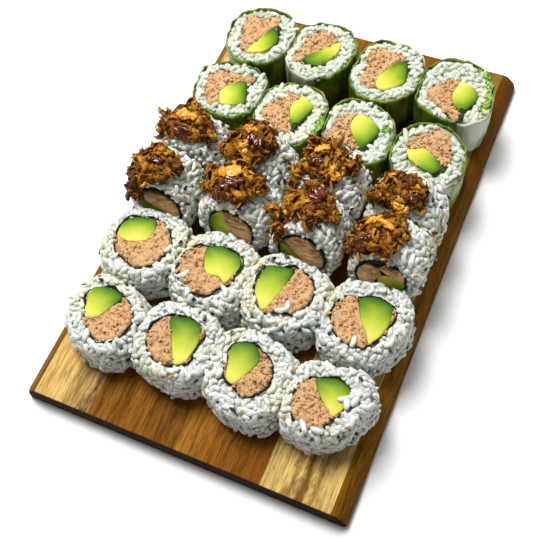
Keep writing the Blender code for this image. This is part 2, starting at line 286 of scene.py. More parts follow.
@dataclass(frozen=True)
class TunaFinish:
    """Flaked tuna in dressing: peach flakes, with crevices and holes painted dark brown as shade."""

    pale: Colour = (0.76, 0.48, 0.235)
    tan: Colour = (0.54, 0.29, 0.13)
    # painted shade: the colour of the crevices between flakes
    crevice: Colour = (0.085, 0.03, 0.015)

    def material(self) -> bpy.types.Material:
        """Builds the finish."""
        constants = {"Roughness": 0.55, "Specular IOR Level": 0.25, **lit_inside(0.1, (1.0, 0.5, 0.3), 1.0)}
        shader = Shader("tuna_salad", constants)
        fibres = shader.noise(1000.0, shader.place(), 5.0, 0.7)
        holes = shader.noise(430.0, shader.place(), 3.0, 0.6)
        value = shader.tone() * 0.62 + shader.spread(fibres, 0.32, 0.68) * 0.42
        # Painted shade: darker in the holes, which the relief sinks.
        value = value - 0.55 * shader.spread(holes, 0.60, 0.72)
        shader.paint(shader.ramp(value, ((0.0, self.crevice), (0.26, self.tan), (0.85, self.pale))))
        shader.relief(fibres - 0.8 * shader.spread(holes, 0.58, 0.72), 0.7)
        return shader.material


@dataclass(frozen=True)
class AvocadoFinish:
    """Ripe avocado: a dark green rim, then bright green that turns yellow away from the skin."""

    rim: Colour = (0.015, 0.055, 0.002)
    green: Colour = (0.085, 0.20, 0.004)
    lime: Colour = (0.40, 0.49, 0.03)
    yellow: Colour = (0.68, 0.63, 0.10)

    def material(self) -> bpy.types.Material:
        """Builds the finish."""
        constants = {"Roughness": 0.5, "Specular IOR Level": 0.1, **lit_inside(0.05, (1.0, 1.0, 0.3), 1.0)}
        shader = Shader("avocado", constants)
        soft = shader.noise(260.0, shader.place(), 3.0)
        depth = shader.tone("depth") + (soft - 0.5) * 0.10
        stops = ((0.0, self.rim), (0.15, self.green), (0.46, self.lime), (0.80, self.yellow))
        shader.paint(shader.ramp(depth, stops))
        shader.relief(shader.noise(700.0, shader.place(), 4.0, 0.65), 0.4, 0.7)
        return shader.material


@dataclass(frozen=True)
class StripFinish:
    """A brown cooked strip with a darker, fibrous crust."""

    flesh: Colour = (0.92, 0.58, 0.27)
    crust: Colour = (0.20, 0.075, 0.014)

    def material(self) -> bpy.types.Material:
        """Builds the finish."""
        shader = Shader("breaded_strip", {"Roughness": 0.5, "Specular IOR Level": 0.2})
        fibres = shader.noise(360.0, shader.place((0.6, 1.0, 1.7)), 5.0, 0.75)
        cooked = shader.spread(fibres + 0.3 * shader.tone("depth"), 0.45, 0.72)
        shader.paint(shader.mix(cooked, self.crust, self.flesh))
        shader.relief(fibres, 0.9)
        return shader.material


@dataclass(frozen=True)
class OnionFinish:
    """Crisp fried onion: golden flakes with brown ones among them, oily; the lowest tones, nearly black, are
    painted shade deep in the heaps.
    """

    dark: Colour = (0.014, 0.004, 0.001)
    brown: Colour = (0.13, 0.040, 0.002)
    golden: Colour = (0.40, 0.155, 0.007)
    bright: Colour = (0.70, 0.36, 0.03)

    def material(self) -> bpy.types.Material:
        """Builds the finish."""
        oil = {"Coat Weight": 0.10, "Coat Roughness": 0.12}
        shader = Shader("fried_onion", {"Roughness": 0.42, "Specular IOR Level": 0.15, **oil})
        mottle = shader.noise(260.0, shader.place(), 5.0, 0.7)
        value = shader.tone() * 0.62 + shader.spread(mottle, 0.32, 0.68) * 0.50
        stops = ((0.04, self.dark), (0.34, self.brown), (0.68, self.golden), (1.0, self.bright))
        shader.paint(shader.ramp(value, stops))
        shader.relief(shader.noise(650.0, shader.place(), 4.0, 0.65), 0.8)
        return shader.material


@dataclass(frozen=True)
class GlazeFinish:
    """A glossy dressing or sauce that shades between two colours."""

    name: str
    thin: Colour
    thick: Colour
    roughness: float = 0.12

    def material(self) -> bpy.types.Material:
        """Builds the finish."""
        gloss = {"Coat Weight": 0.35, "Coat Roughness": 0.05}
        constants = {"Roughness": self.roughness, "Specular IOR Level": 0.35, **gloss}
        shader = Shader(self.name, constants)
        cloudy = shader.noise(240.0, shader.place(), 2.0)
        shader.paint(shader.mix(shader.spread(cloudy, 0.38, 0.62), self.thin, self.thick))
        shader.relief(cloudy, 0.4)
        return shader.material


@dataclass(frozen=True)
class WrapFinish:
    """A thin moist green wrap with upright creases, whitish where it is stretched over the rice."""

    deep: Colour = (0.028, 0.070, 0.003)
    green: Colour = (0.20, 0.31, 0.014)
    film: Colour = (0.60, 0.62, 0.50)

    def material(self) -> bpy.types.Material:
        """Builds the finish."""
        moist = {"Coat Weight": 0.15, "Coat Roughness": 0.2}
        shader = Shader("green_wrap", {"Roughness": 0.32, "Specular IOR Level": 0.35, **moist})
        upright = shader.noise(260.0, shader.place((1.0, 1.0, 0.14)), 5.0, 0.65)
        blotch = shader.noise(90.0, shader.place(), 3.0)
        green = shader.mix(shader.spread(upright + 0.8 * blotch, 0.74, 1.08), self.deep, self.green)
        film = shader.spread(shader.tone("film") + 1.1 * (upright - 0.5), 0.25, 0.80)
        shader.paint(shader.mix(0.92 * film, green, self.film))
        shader.relief(upright, 0.8)
        return shader.material


@dataclass(frozen=True)
class LeafFinish:
    """Curly lettuce, bright green with paler ribs."""

    deep: Colour = (0.06, 0.17, 0.006)
    bright: Colour = (0.27, 0.46, 0.03)

    def material(self) -> bpy.types.Material:
        """Builds the finish."""
        shader = Shader("lettuce", {"Roughness": 0.35})
        ribs = shader.noise(400.0, shader.place(), 3.0)
        shader.paint(shader.mix(shader.spread(ribs, 0.38, 0.62), self.deep, self.bright))
        shader.relief(ribs, 0.3)
        return shader.material


@dataclass(frozen=True)
class SesameFinish:
    """Sesame seeds of one colour."""

    name: str
    seed: Colour
    shade: Colour

    def material(self) -> bpy.types.Material:
        """Builds the finish."""
        shader = Shader(self.name, {"Roughness": 0.4})
        grain = shader.noise(1200.0, shader.place(), 2.0)
        shader.paint(shader.mix(grain, self.seed, self.shade))
        shader.relief(grain, 0.08)
        return shader.material


@dataclass(frozen=True)
class AcaciaFinish:
    """Oiled acacia in glued strips along Y: pale sapwood at both long sides and heartwood between, with
    painted shade on the rounded edges, the front end face and the back right.
    """

    half_width: float = 94.5
    strips: tuple[tuple[float, Colour], ...] = (
        # the left rounded edge: darker, partly the wood's tint and partly painted shade
        (-94.5, (0.22, 0.10, 0.012)),
        (-86.5, (0.62, 0.39, 0.125)),
        (-53.4, (0.235, 0.092, 0.010)),
        (-2.2, (0.27, 0.110, 0.013)),
        (13.3, (0.25, 0.090, 0.009)),
        (47.2, (0.64, 0.43, 0.135)),
        # the right rounded edge: darker, partly the wood's tint and partly painted shade
        (85.6, (0.19, 0.080, 0.006)),
    )
    shade: float = 0.22
    glow: float = 1.55
    pore: Colour = (0.022, 0.008, 0.003)
    # the front end face: darker end grain, made nearly black by painted shade
    end: Colour = (0.020, 0.007, 0.001)
    # painted shade at the back right
    back: Colour = (0.12, 0.038, 0.002)
    figure: Colour = (0.15, 0.068, 0.010)
    knot: Colour = (0.085, 0.040, 0.016)
    red: Colour = (0.15, 0.042, 0.005)

    def material(self) -> bpy.types.Material:
        """Builds the finish."""
        shader = Shader("acacia", {"Specular IOR Level": 0.02})
        place = shader.place()
        across, along = shader.part(place, 0), shader.part(place, 1)
        strip_share = shader.spread(across, -self.half_width * MM, self.half_width * MM)
        width = 2.0 * self.half_width
        stops = [((start + self.half_width) / width, colour) for start, colour in self.strips]
        base = shader.ramp(strip_share, stops, "CONSTANT")
        which = [(stop, (index / len(stops),) * 3) for index, (stop, _) in enumerate(stops)]
        strip = shader.ramp(strip_share, which, "CONSTANT")
        broad = self._streaks(shader, strip, (85.0, 5.0, 60.0), 3.0)
        narrow = self._streaks(shader, strip, (330.0, 24.0, 300.0), 4.0)
        fine = self._streaks(shader, strip, (1100.0, 90.0, 900.0), 3.0)
        pores = self._streaks(shader, strip, (1900.0, 210.0, 900.0), 2.0)
        dark, light = self._scaled(shader, base, self.shade), self._scaled(shader, base, self.glow)
        wavy = shader.noise(1.0, shader.place((150.0, 40.0, 60.0)), 5.0, 0.7)
        figured = shader.band(across, 0.050, 0.064, 0.074, 0.084) * shader.spread(wavy, 0.42, 0.58)
        knotty = shader.band(across, -0.070, -0.056, -0.0534, -0.0530) * shader.spread(along, -0.092, -0.128)
        reddish = shader.band(across, 0.026, 0.044, 0.0470, 0.0474)
        # Painted shade: darker towards the back right.
        far = shader.spread(along, 0.0, 0.14) * shader.spread(across, 0.02, 0.08)
        layers = (
            (0.60, shader.spread(broad, 0.50, 0.72), dark),
            (0.50, shader.spread(broad, 0.48, 0.30), light),
            (0.60, shader.spread(narrow, 0.50, 0.68), dark),
            (0.50, shader.spread(narrow, 0.46, 0.32), light),
            (0.60, shader.spread(fine, 0.50, 0.66), dark),
            (0.45, shader.spread(fine, 0.47, 0.36), light),
            (0.65, shader.spread(pores, 0.60, 0.68), self.pore),
            (0.95, figured, self.figure),
            (0.95, knotty * shader.spread(wavy, 0.40, 0.58), self.knot),
            (0.55, reddish, self.red),
            (0.80, far, self.back),
            # Painted shade with darker end grain: the front end face nearly black.
            (1.00, shader.spread(along, -0.1424, -0.1430), self.end),
        )
        colour = base
        for strength, where, tint in layers:
            colour = shader.mix(strength * where, colour, tint)
        shader.paint(colour)
        shader.rough(0.5 + 0.2 * narrow)
        shader.relief(pores, 0.15, 0.5)
        return shader.material

    @staticmethod
    def _scaled(shader: Shader, colour: Value, factor: float) -> Value:
        """A colour made darker or lighter by a factor."""
        return shader.node("ShaderNodeVectorMath", {"operation": "SCALE"}, {0: colour, "Scale": factor})

    @staticmethod
    def _streaks(shader: Shader, strip: Value, scale: Triple, detail: float) -> Value:
        """Long streaks along the grain, which start anew in each strip.

        Args:
            shader: the shader that they are part of.
            strip: a number for the strip.
            scale: how many streaks there are in a metre across, along and down.
            detail: how many finer layers they have.

        Returns:
            The streaks' strength.
        """
        inputs = {"Vector": shader.place(scale), "W": strip * 40.0, "Scale": 1.0}
        inputs |= {"Detail": detail, "Roughness": 0.6}
        return shader.node("ShaderNodeTexNoise", {"noise_dimensions": "4D"}, inputs, 0)


@dataclass(frozen=True)
class FloorFinish:
    """The plain pale floor."""

    pale: Colour = (0.90, 0.90, 0.90)

    def material(self) -> bpy.types.Material:
        """Builds the finish."""
        return Shader("floor", {"Base Color": (*self.pale, 1.0), "Roughness": 0.8}).material


# ---- modelling ----


def deselect() -> None:
    """Clears the selection, which loading leaves on the CAD nodes."""
    if bpy.context.object and bpy.context.object.mode != "OBJECT":
        bpy.ops.object.mode_set(mode="OBJECT")
    bpy.ops.object.select_all(action="DESELECT")


@contextmanager
def editing(piece: bpy.types.Object, test: Callable[[Vector], bool]) -> Iterator[None]:
    """Opens a piece in edit mode with the points selected whose place passes a test.

    Args:
        piece: the piece.
        test: says whether a point is selected.

    Returns:
        Nothing while the piece is open. It closes afterwards.
    """
    bpy.context.view_layer.objects.active = piece
    bpy.ops.object.mode_set(mode="EDIT")
    bpy.ops.mesh.select_mode(type="VERT")
    bm = bmesh.from_edit_mesh(piece.data)
    for vertex in bm.verts:
        vertex.select = test(vertex.co)
    bm.select_flush_mode()
    bmesh.update_edit_mesh(piece.data)
    yield
    bpy.ops.object.mode_set(mode="OBJECT")


def everywhere(_: Vector) -> bool:
    """Selects every point."""
    return True


def clamp(number: float) -> float:
    """Keeps a number from 0 to 1."""
    return min(1.0, max(0.0, number))


def ripple(x: float, y: float, scale: float, layer: float) -> float:
    """Noise over a plane, from about -1 to 1: its scale in waves a unit, and a layer for each use."""
    return noise.noise(Vector((x * scale, y * scale, layer)))


def store(mesh: bpy.types.Mesh, name: str, numbers: Sequence[float]) -> None:
    """Keeps a named number for each of a mesh's points."""
    mesh.attributes.new(name, "FLOAT", "POINT").data.foreach_set("value", numbers)


def lying_sphere(segments: int, rings: int) -> bpy.types.Object:
    """A sphere 1 across, with its poles on the X axis, from its numbers of segments and rings."""
    deselect()
    quarter = (0.0, math.pi / 2, 0.0)
    bpy.ops.mesh.primitive_uv_sphere_add(segments=segments, ring_count=rings, radius=0.5, rotation=quarter)
    bpy.ops.object.transform_apply(rotation=True)
    return bpy.context.object


def apply(piece: bpy.types.Object, kind: str, **settings: float | str | bool) -> None:
    """Adds a modifier and applies it.

    Args:
        piece: the piece.
        kind: the modifier's type.
        settings: its properties.
    """
    bpy.context.view_layer.objects.active = piece
    modifier = piece.modifiers.new(kind.title(), kind)
    for key, setting in settings.items():
        setattr(modifier, key, setting)
    bpy.ops.object.modifier_apply(modifier=modifier.name)


def hang(piece: bpy.types.Object, material: bpy.types.Material, slot: Slot, *nodes: str) -> bpy.types.Object:
    """Gives a finished piece its material, and hangs it on the platter.

    Args:
        piece: the finished piece.
        material: its material.
        slot: not used.
        nodes: the CAD nodes that it stands for.

    Returns:
        The piece.
    """
    piece.data.materials.clear()
    piece.data.materials.append(material)
    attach(piece, BODY)
    if nodes:
        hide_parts(*nodes)
    log.info("%s: %d faces", piece.name, len(piece.data.polygons))
    return piece


@dataclass
class Shape:
    """A small shape's points and faces."""

    points: np.ndarray
    faces: list[tuple[int, ...]]

    @classmethod
    def of(cls, piece: bpy.types.Object) -> "Shape":
        """Takes the shape of a modelled piece, and removes the piece."""
        mesh = piece.data
        points = np.array([vertex.co for vertex in mesh.vertices])
        faces = [tuple(polygon.vertices) for polygon in mesh.polygons]
        bpy.data.objects.remove(piece, do_unlink=True)
        bpy.data.meshes.remove(mesh)
        return cls(points, faces)


class Pile:
    """One piece made of many copies of small shapes, each with a number of its own from 0 to 1."""

    def __init__(self, attribute: str = "tone") -> None:
        """Starts empty. The copies' numbers go in the named attribute."""
        self.attribute = attribute
        self.points: list[np.ndarray] = []
        self.faces: list[tuple[int, ...]] = []
        self.tones: list[np.ndarray] = []
        self.count = 0

    def add(self, shape: Shape, seat: Matrix, tone: float | np.ndarray) -> None:
        """Adds a copy.

        Args:
            shape: what is copied.
            seat: its place, turn and size.
            tone: its number, or one for each of its points.
        """
        turn = np.array(seat.to_3x3())
        self.points.append(shape.points @ turn.T + np.array(seat.translation))
        start = self.count
        self.faces += [tuple(start + corner for corner in face) for face in shape.faces]
        self.tones.append(np.full(len(shape.points), 0.0) + tone)
        self.count += len(shape.points)

    def build(self, name: str) -> bpy.types.Object:
        """Makes the piece, shaded smooth."""
        mesh = bpy.data.meshes.new(name)
        mesh.from_pydata(np.concatenate(self.points).tolist(), [], self.faces)
        store(mesh, self.attribute, np.concatenate(self.tones).astype(np.float32))
        mesh.shade_smooth()
        piece = bpy.data.objects.new(name, mesh)
        bpy.context.scene.collection.objects.link(piece)
        return piece


@dataclass(frozen=True)
class Spot:
    """A place on a surface and the way out from it."""

    place: Vector
    out: Vector

    def seat(self, lift: float, turn: float, tilt: float, size: Sequence[float], roll: float = 0.0) -> Matrix:
        """A seat for a shape that lies here.

        Args:
            lift: how far out it sits, in metres.
            turn: its turn about the way out, in radians.
            tilt: how far its long axis tips out, in radians.
            size: its scale along, across and out.
            roll: its turn about its long axis, in radians.

        Returns:
            The seat.
        """
        facing = self.out.to_track_quat("Z", "Y").to_matrix()
        spun = facing @ Matrix.Rotation(turn, 3, "Z") @ Matrix.Rotation(tilt, 3, "Y")
        spun = spun @ Matrix.Rotation(roll, 3, "X") @ Matrix.Diagonal(Vector(size))
        return Matrix.Translation(self.place + self.out * lift) @ spun.to_4x4()


class Solid:
    """A CAD solid's outside, on which small pieces are set."""

    def __init__(self, node: str) -> None:
        """Reads the solid and merges its loose triangles in a copy."""
        bm = bmesh.new()
        bm.from_mesh(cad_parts[node].data)
        bmesh.ops.remove_doubles(bm, verts=bm.verts, dist=MERGE)
        bm.normal_update()
        bm.verts.index_update()
        self.points = np.array([vertex.co for vertex in bm.verts])
        self.normals = np.array([vertex.normal for vertex in bm.verts])
        self.faces = [tuple(vertex.index for vertex in face.verts) for face in bm.faces]
        self.areas = [face.calc_area() for face in bm.faces]
        self.tree = BVHTree.FromBMesh(bm)
        bm.free()

    def core(self, depth: float) -> Shape:
        """The solid itself, thinner by a depth in millimetres."""
        return Shape(self.points - self.normals * (depth * MM), self.faces)

    def spots(self, rng: random.Random, spacing: float, wanted: Wanted) -> list[Spot]:
        """Draws places that are at least a spacing apart.

        Args:
            rng: the seeded source of chance.
            spacing: the least distance in millimetres.
            wanted: says whether a place and its way out are wanted.

        Returns:
            The places.
        """
        gap = spacing * MM
        tries = int(9.0 * sum(self.areas) / gap**2)
        taken: dict[tuple[int, int, int], list[Vector]] = {}
        spots = []
        for face in rng.choices(self.faces, weights=self.areas, k=tries):
            first, second = sorted((rng.random(), rng.random()))
            shares = np.array((first, second - first, 1.0 - second))
            place = Vector(shares @ self.points[list(face)])
            out = Vector(shares @ self.normals[list(face)]).normalized()
            if wanted(place, out) and self._is_free(taken, place, gap):
                spots.append(Spot(place, out))
        return spots

    @staticmethod
    def _is_free(taken: dict[tuple[int, int, int], list[Vector]], place: Vector, gap: float) -> bool:
        """Takes a place, unless another one is nearer than the gap."""
        cell = tuple(int(math.floor(part / gap)) for part in place)
        for step in product((-1, 0, 1), repeat=3):
            for other in taken.get(tuple(map(add, cell, step)), ()):
                if (other - place).length < gap:
                    return False
        taken.setdefault(cell, []).append(place)
        return True

    def top_at(self, x: float, y: float) -> Spot:
        """The highest place over a point in millimetres, or else the nearest place."""
        hit, out, _, _ = self.tree.ray_cast(Vector((x * MM, y * MM, 1.0)), -UP)
        if hit is None:
            hit, out, _, _ = self.tree.find_nearest(Vector((x, y, 60.0)) * MM)
        return Spot(hit, out)


# ---- small shapes ----


@dataclass(frozen=True)
class GrainShapes:
    """Grains of cooked rice: blunt, a little bowed, and uneven in length. Millimetres."""

    length: float = 6.9
    width: float = 3.5
    thickness: float = 3.0
    bows: tuple[float, ...] = (0.1, 0.35, 0.6)
    blunt: float = 1.2

    def shapes(self) -> list[Shape]:
        """One shape for each bow."""
        return [self._grain(bow) for bow in self.bows]

    def _grain(self, bow: float) -> Shape:
        """Shapes a sphere of a few dozen faces into one grain."""
        grain = lying_sphere(6, 6)
        with editing(grain, lambda co: 0.3 < abs(co.x) < 0.48):
            bpy.ops.transform.resize(value=(1.04, self.blunt, self.blunt))
        with editing(grain, everywhere):
            bpy.ops.transform.resize(value=(self.length * MM, self.width * MM, self.thickness * MM))
        with editing(grain, lambda co: abs(co.x) < 0.1 * self.length * MM):
            bpy.ops.transform.translate(value=(0.0, bow * MM, 0.0))
        with editing(grain, lambda co: abs(co.x) > 0.35 * self.length * MM):
            bpy.ops.transform.translate(value=(0.0, -0.6 * bow * MM, 0.0))
        return Shape.of(grain)


@dataclass(frozen=True)
class CrumbShapes:
    """Rough crumbs of tuna, 1 by 1 before they are sized."""

    kinds: int = 4
    roughness: float = 0.26

    def shapes(self) -> list[Shape]:
        """One shape for each kind."""
        made = []
        for kind in range(self.kinds):
            deselect()
            bpy.ops.mesh.primitive_uv_sphere_add(segments=6, ring_count=5, radius=0.5)
            lump = bpy.context.object
            with editing(lump, everywhere):
                bpy.ops.transform.vertex_random(offset=self.roughness, uniform=1.0, seed=kind)
            made.append(Shape.of(lump))
        return made


@dataclass(frozen=True)
class OnionShapes:
    """Thin curled shreds of fried onion with frayed edges, 1 by 1 before they are sized."""

    thickness: float = 0.16
    crumple: float = 0.15
    curls: tuple[float, ...] = (-0.5, 0.5, 1.1)
    twists: tuple[float, ...] = (-1.1, 0.4, 1.3)

    def shapes(self) -> list[Shape]:
        """One shape for each kind."""
        return [self._shred(kind, *pair) for kind, pair in enumerate(product(self.twists, self.curls))]

    def _shred(self, kind: int, twist: float, curl: float) -> Shape:
        """Curls, twists, frays and thickens a small grid.

        Args:
            kind: seeds the fraying.
            twist: how far its ends turn against each other.
            curl: how far its ends bend down.

        Returns:
            The shred.
        """
        deselect()
        bpy.ops.mesh.primitive_grid_add(x_subdivisions=6, y_subdivisions=3, size=1.0)
        shred = bpy.context.object
        with editing(shred, everywhere):
            bpy.ops.transform.vertex_random(offset=self.crumple, uniform=1.0, seed=kind)
        for vertex in shred.data.vertices:
            x, y, _ = vertex.co
            ragged = noise.noise(Vector((x * 4.5, kind * 3.1, math.copysign(2.0, y))))
            vertex.co.z += curl * (0.25 - x * x) * 2.0 + twist * x * y - 0.9 * y * y
            vertex.co.y *= 0.95 - 0.7 * x * x + 0.9 * ragged
        apply(shred, "SOLIDIFY", thickness=self.thickness, offset=0.0)
        return Shape.of(shred)


@dataclass(frozen=True)
class SeedShape:
    """A sesame seed: flat and drop-shaped. Millimetres."""

    length: float = 3.3
    width: float = 2.0
    thickness: float = 1.0

    def shapes(self) -> list[Shape]:
        """The one seed."""
        seed = lying_sphere(8, 6)
        with editing(seed, lambda co: co.x > 0.2):
            bpy.ops.transform.resize(value=(1.0, 0.7, 0.8))
        with editing(seed, everywhere):
            bpy.ops.transform.resize(value=(self.length * MM, self.width * MM, self.thickness * MM))
        return [Shape.of(seed)]


# ---- rolls ----


DISC_STEPS = 20
SLICE_REACH = 3.0


@dataclass(frozen=True)
class Cut:
    """A roll's cut face, in millimetres from the roll's middle.

    Attributes:
        middle: the filling's middle.
        reach: the filling's radius in even steps, anticlockwise from +X.
        wedge: the corners of the avocado.
        skin: the direction of the avocado's skin, in degrees.
        nori: where the seaweed starts and ends, in degrees.
        film: directions in which a wrap is stretched thin, in degrees.
    """

    middle: Point
    reach: tuple[float, ...]
    wedge: tuple[Point, ...]
    skin: float
    nori: tuple[float, float] = (0.0, 360.0)
    film: tuple[float, ...] = ()

    def radius(self, angle: float) -> float:
        """The filling's radius in a direction in radians."""
        steps = len(self.reach)
        along = angle / math.tau * steps % steps
        index = int(along)
        share = (1.0 - math.cos(math.pi * (along - index))) / 2.0
        return self.reach[index % steps] * (1.0 - share) + self.reach[(index + 1) % steps] * share

    def at(self, angle: float, reach: float) -> Point:
        """The point at a reach from the filling's middle, in a direction in radians."""
        return self.middle[0] + reach * math.cos(angle), self.middle[1] + reach * math.sin(angle)

    def disc(self) -> list[Point]:
        """The filling's whole outline."""
        angles = [math.tau * step / DISC_STEPS for step in range(DISC_STEPS)]
        return [self.at(angle, self.radius(angle) + 0.4) for angle in angles]

    def slice(self) -> list[Point]:
        """The avocado's corners, with those near the filling's edge moved out to it."""
        corners = []
        for x, y in self.wedge:
            x, y = x - self.middle[0], y - self.middle[1]
            away, angle = math.hypot(x, y), math.atan2(y, x)
            if self.radius(angle) - away < SLICE_REACH:
                away = self.radius(angle) - 0.1
            corners.append(self.at(angle, away))
        return corners

    def hides(self, outline: Sequence[Point], x: float, y: float, reach: float = 2.6) -> bool:
        """Whether a point is under the avocado, or just beyond its skin side."""
        skin = math.radians(self.skin)
        behind = (x - reach * math.cos(skin), y - reach * math.sin(skin))
        return encloses(outline, x, y) or encloses(outline, *behind)

    def holds(self, x: float, y: float, margin: float = 0.0) -> bool:
        """Whether the filling, wider by a margin, covers a point."""
        x, y = x - self.middle[0], y - self.middle[1]
        return math.hypot(x, y) < self.radius(math.atan2(y, x)) + margin


def rounded(corners: Sequence[Point], cuts: tuple[float, ...] = (0.16, 0.28)) -> list[Point]:
    """Cuts the corners of an outline.

    Args:
        corners: the outline's corners in order.
        cuts: how much each round of cutting takes from a side's ends.

    Returns:
        The rounded outline.
    """
    for share in cuts:
        cut = []
        for (ax, ay), (bx, by) in zip(corners, [*corners[1:], corners[0]]):
            cut.append((ax + share * (bx - ax), ay + share * (by - ay)))
            cut.append((bx + share * (ax - bx), by + share * (ay - by)))
        corners = cut
    return list(corners)


def encloses(outline: Sequence[Point], x: float, y: float) -> bool:
    """Whether an outline goes round a point."""
    inside = False
    for (ax, ay), (bx, by) in zip(outline, [*outline[1:], outline[0]]):
        if (ay > y) != (by > y) and x < (bx - ax) * (y - ay) / (by - ay) + ax:
            inside = not inside
    return inside


@dataclass(frozen=True)
class Face:
    """Where a cut face is: its middle, and its own X, Y and outward axes."""

    seat: Matrix

    @classmethod
    def flat(cls, x: float, y: float, height: float) -> "Face":
        """A face that looks up, from its middle in millimetres."""
        return cls(Matrix.Translation(Vector((x, y, height)) * MM))

    @classmethod
    def leaning(cls, x: float, y: float, height: float, lean: float) -> "Face":
        """A face that looks to the front and leans back by a slope."""
        up = Vector((0.0, lean, 1.0)).normalized()
        right = Vector((1.0, 0.0, 0.0))
        turn = Matrix((right, up, right.cross(up))).transposed()
        return cls(Matrix.Translation(Vector((x, y, height)) * MM) @ turn.to_4x4())

    def local(self, place: Vector) -> tuple[float, float, float]:
        """A place in millimetres on the face's own axes."""
        return tuple(part / MM for part in self.seat.inverted() @ place)


@dataclass
class Rice:
    """The coat of rice grains on a roll, over the roll's own core. Millimetres."""

    grains: list[Shape]
    spacing: float = 2.8
    face_spacing: float = 2.45
    core_depth: float = 1.5
    sink: float = 0.95
    loose: float = 0.3
    tilt: float = 0.25
    patch: float = 13.0
    stray: float = 0.6
    pressed: float = 0.3
    sag: float = 0.0
    sag_height: float = 14.0
    scale: float = 1.0
    sizes: Point = (0.82, 1.12)
    lengths: Point = (0.75, 1.08)
    tones: Point = (0.15, 1.0)
    loose_lifts: Point = (0.2, 0.8)
    face_slope: float = 0.75
    end_on: float = 0.55
    end_sink: float = 3.4
    # A tone below zero paints shade on the core, which shows between the grains.
    core_shade_tone: float = -0.12
    bare_foot: float = 0.8

    def on_side(self, place: Vector) -> bool:
        """Whether a place is above the strip at a roll's foot that stays bare."""
        return place.z > (FOOT + self.bare_foot) * MM

    def coat(self, pile: Pile, spots: Sequence[Spot], facing: Vector, rng: random.Random) -> None:
        """Lays a grain on each spot, in patches that lie nearly one way, and some end on in the cut face.

        Args:
            pile: the piece that gets the grains.
            spots: where they lie.
            facing: the way that the cut face looks.
            rng: the seeded source of chance.
        """
        for spot in spots:
            size = [self.scale * rng.uniform(*self.sizes) for _ in range(3)]
            flow = 2.6 * math.pi * noise.noise(spot.place / (self.patch * MM))
            turn = flow + rng.gauss(0.0, self.stray)
            lift = -self.sink + rng.uniform(-0.2, 0.2)
            tip = rng.gauss(0.0, self.tilt)
            on_face = spot.out.dot(facing) > self.face_slope
            if on_face:
                lift -= self.pressed
            elif rng.random() < self.loose:
                lift += rng.uniform(*self.loose_lifts)
            if on_face and rng.random() < self.end_on:
                tip = math.pi / 2 + rng.gauss(0.0, 0.35)
                lift = -self.end_sink * size[0] + rng.uniform(0.2, 0.6)
            else:
                size[0] *= rng.uniform(*self.lengths)
            low = (spot.place.z / MM - FOOT) / self.sag_height
            lift += self.sag * max(0.0, 1.0 - low)
            seat = spot.seat(lift * MM, turn, tip, size)
            pile.add(rng.choice(self.grains), seat, rng.uniform(*self.tones))


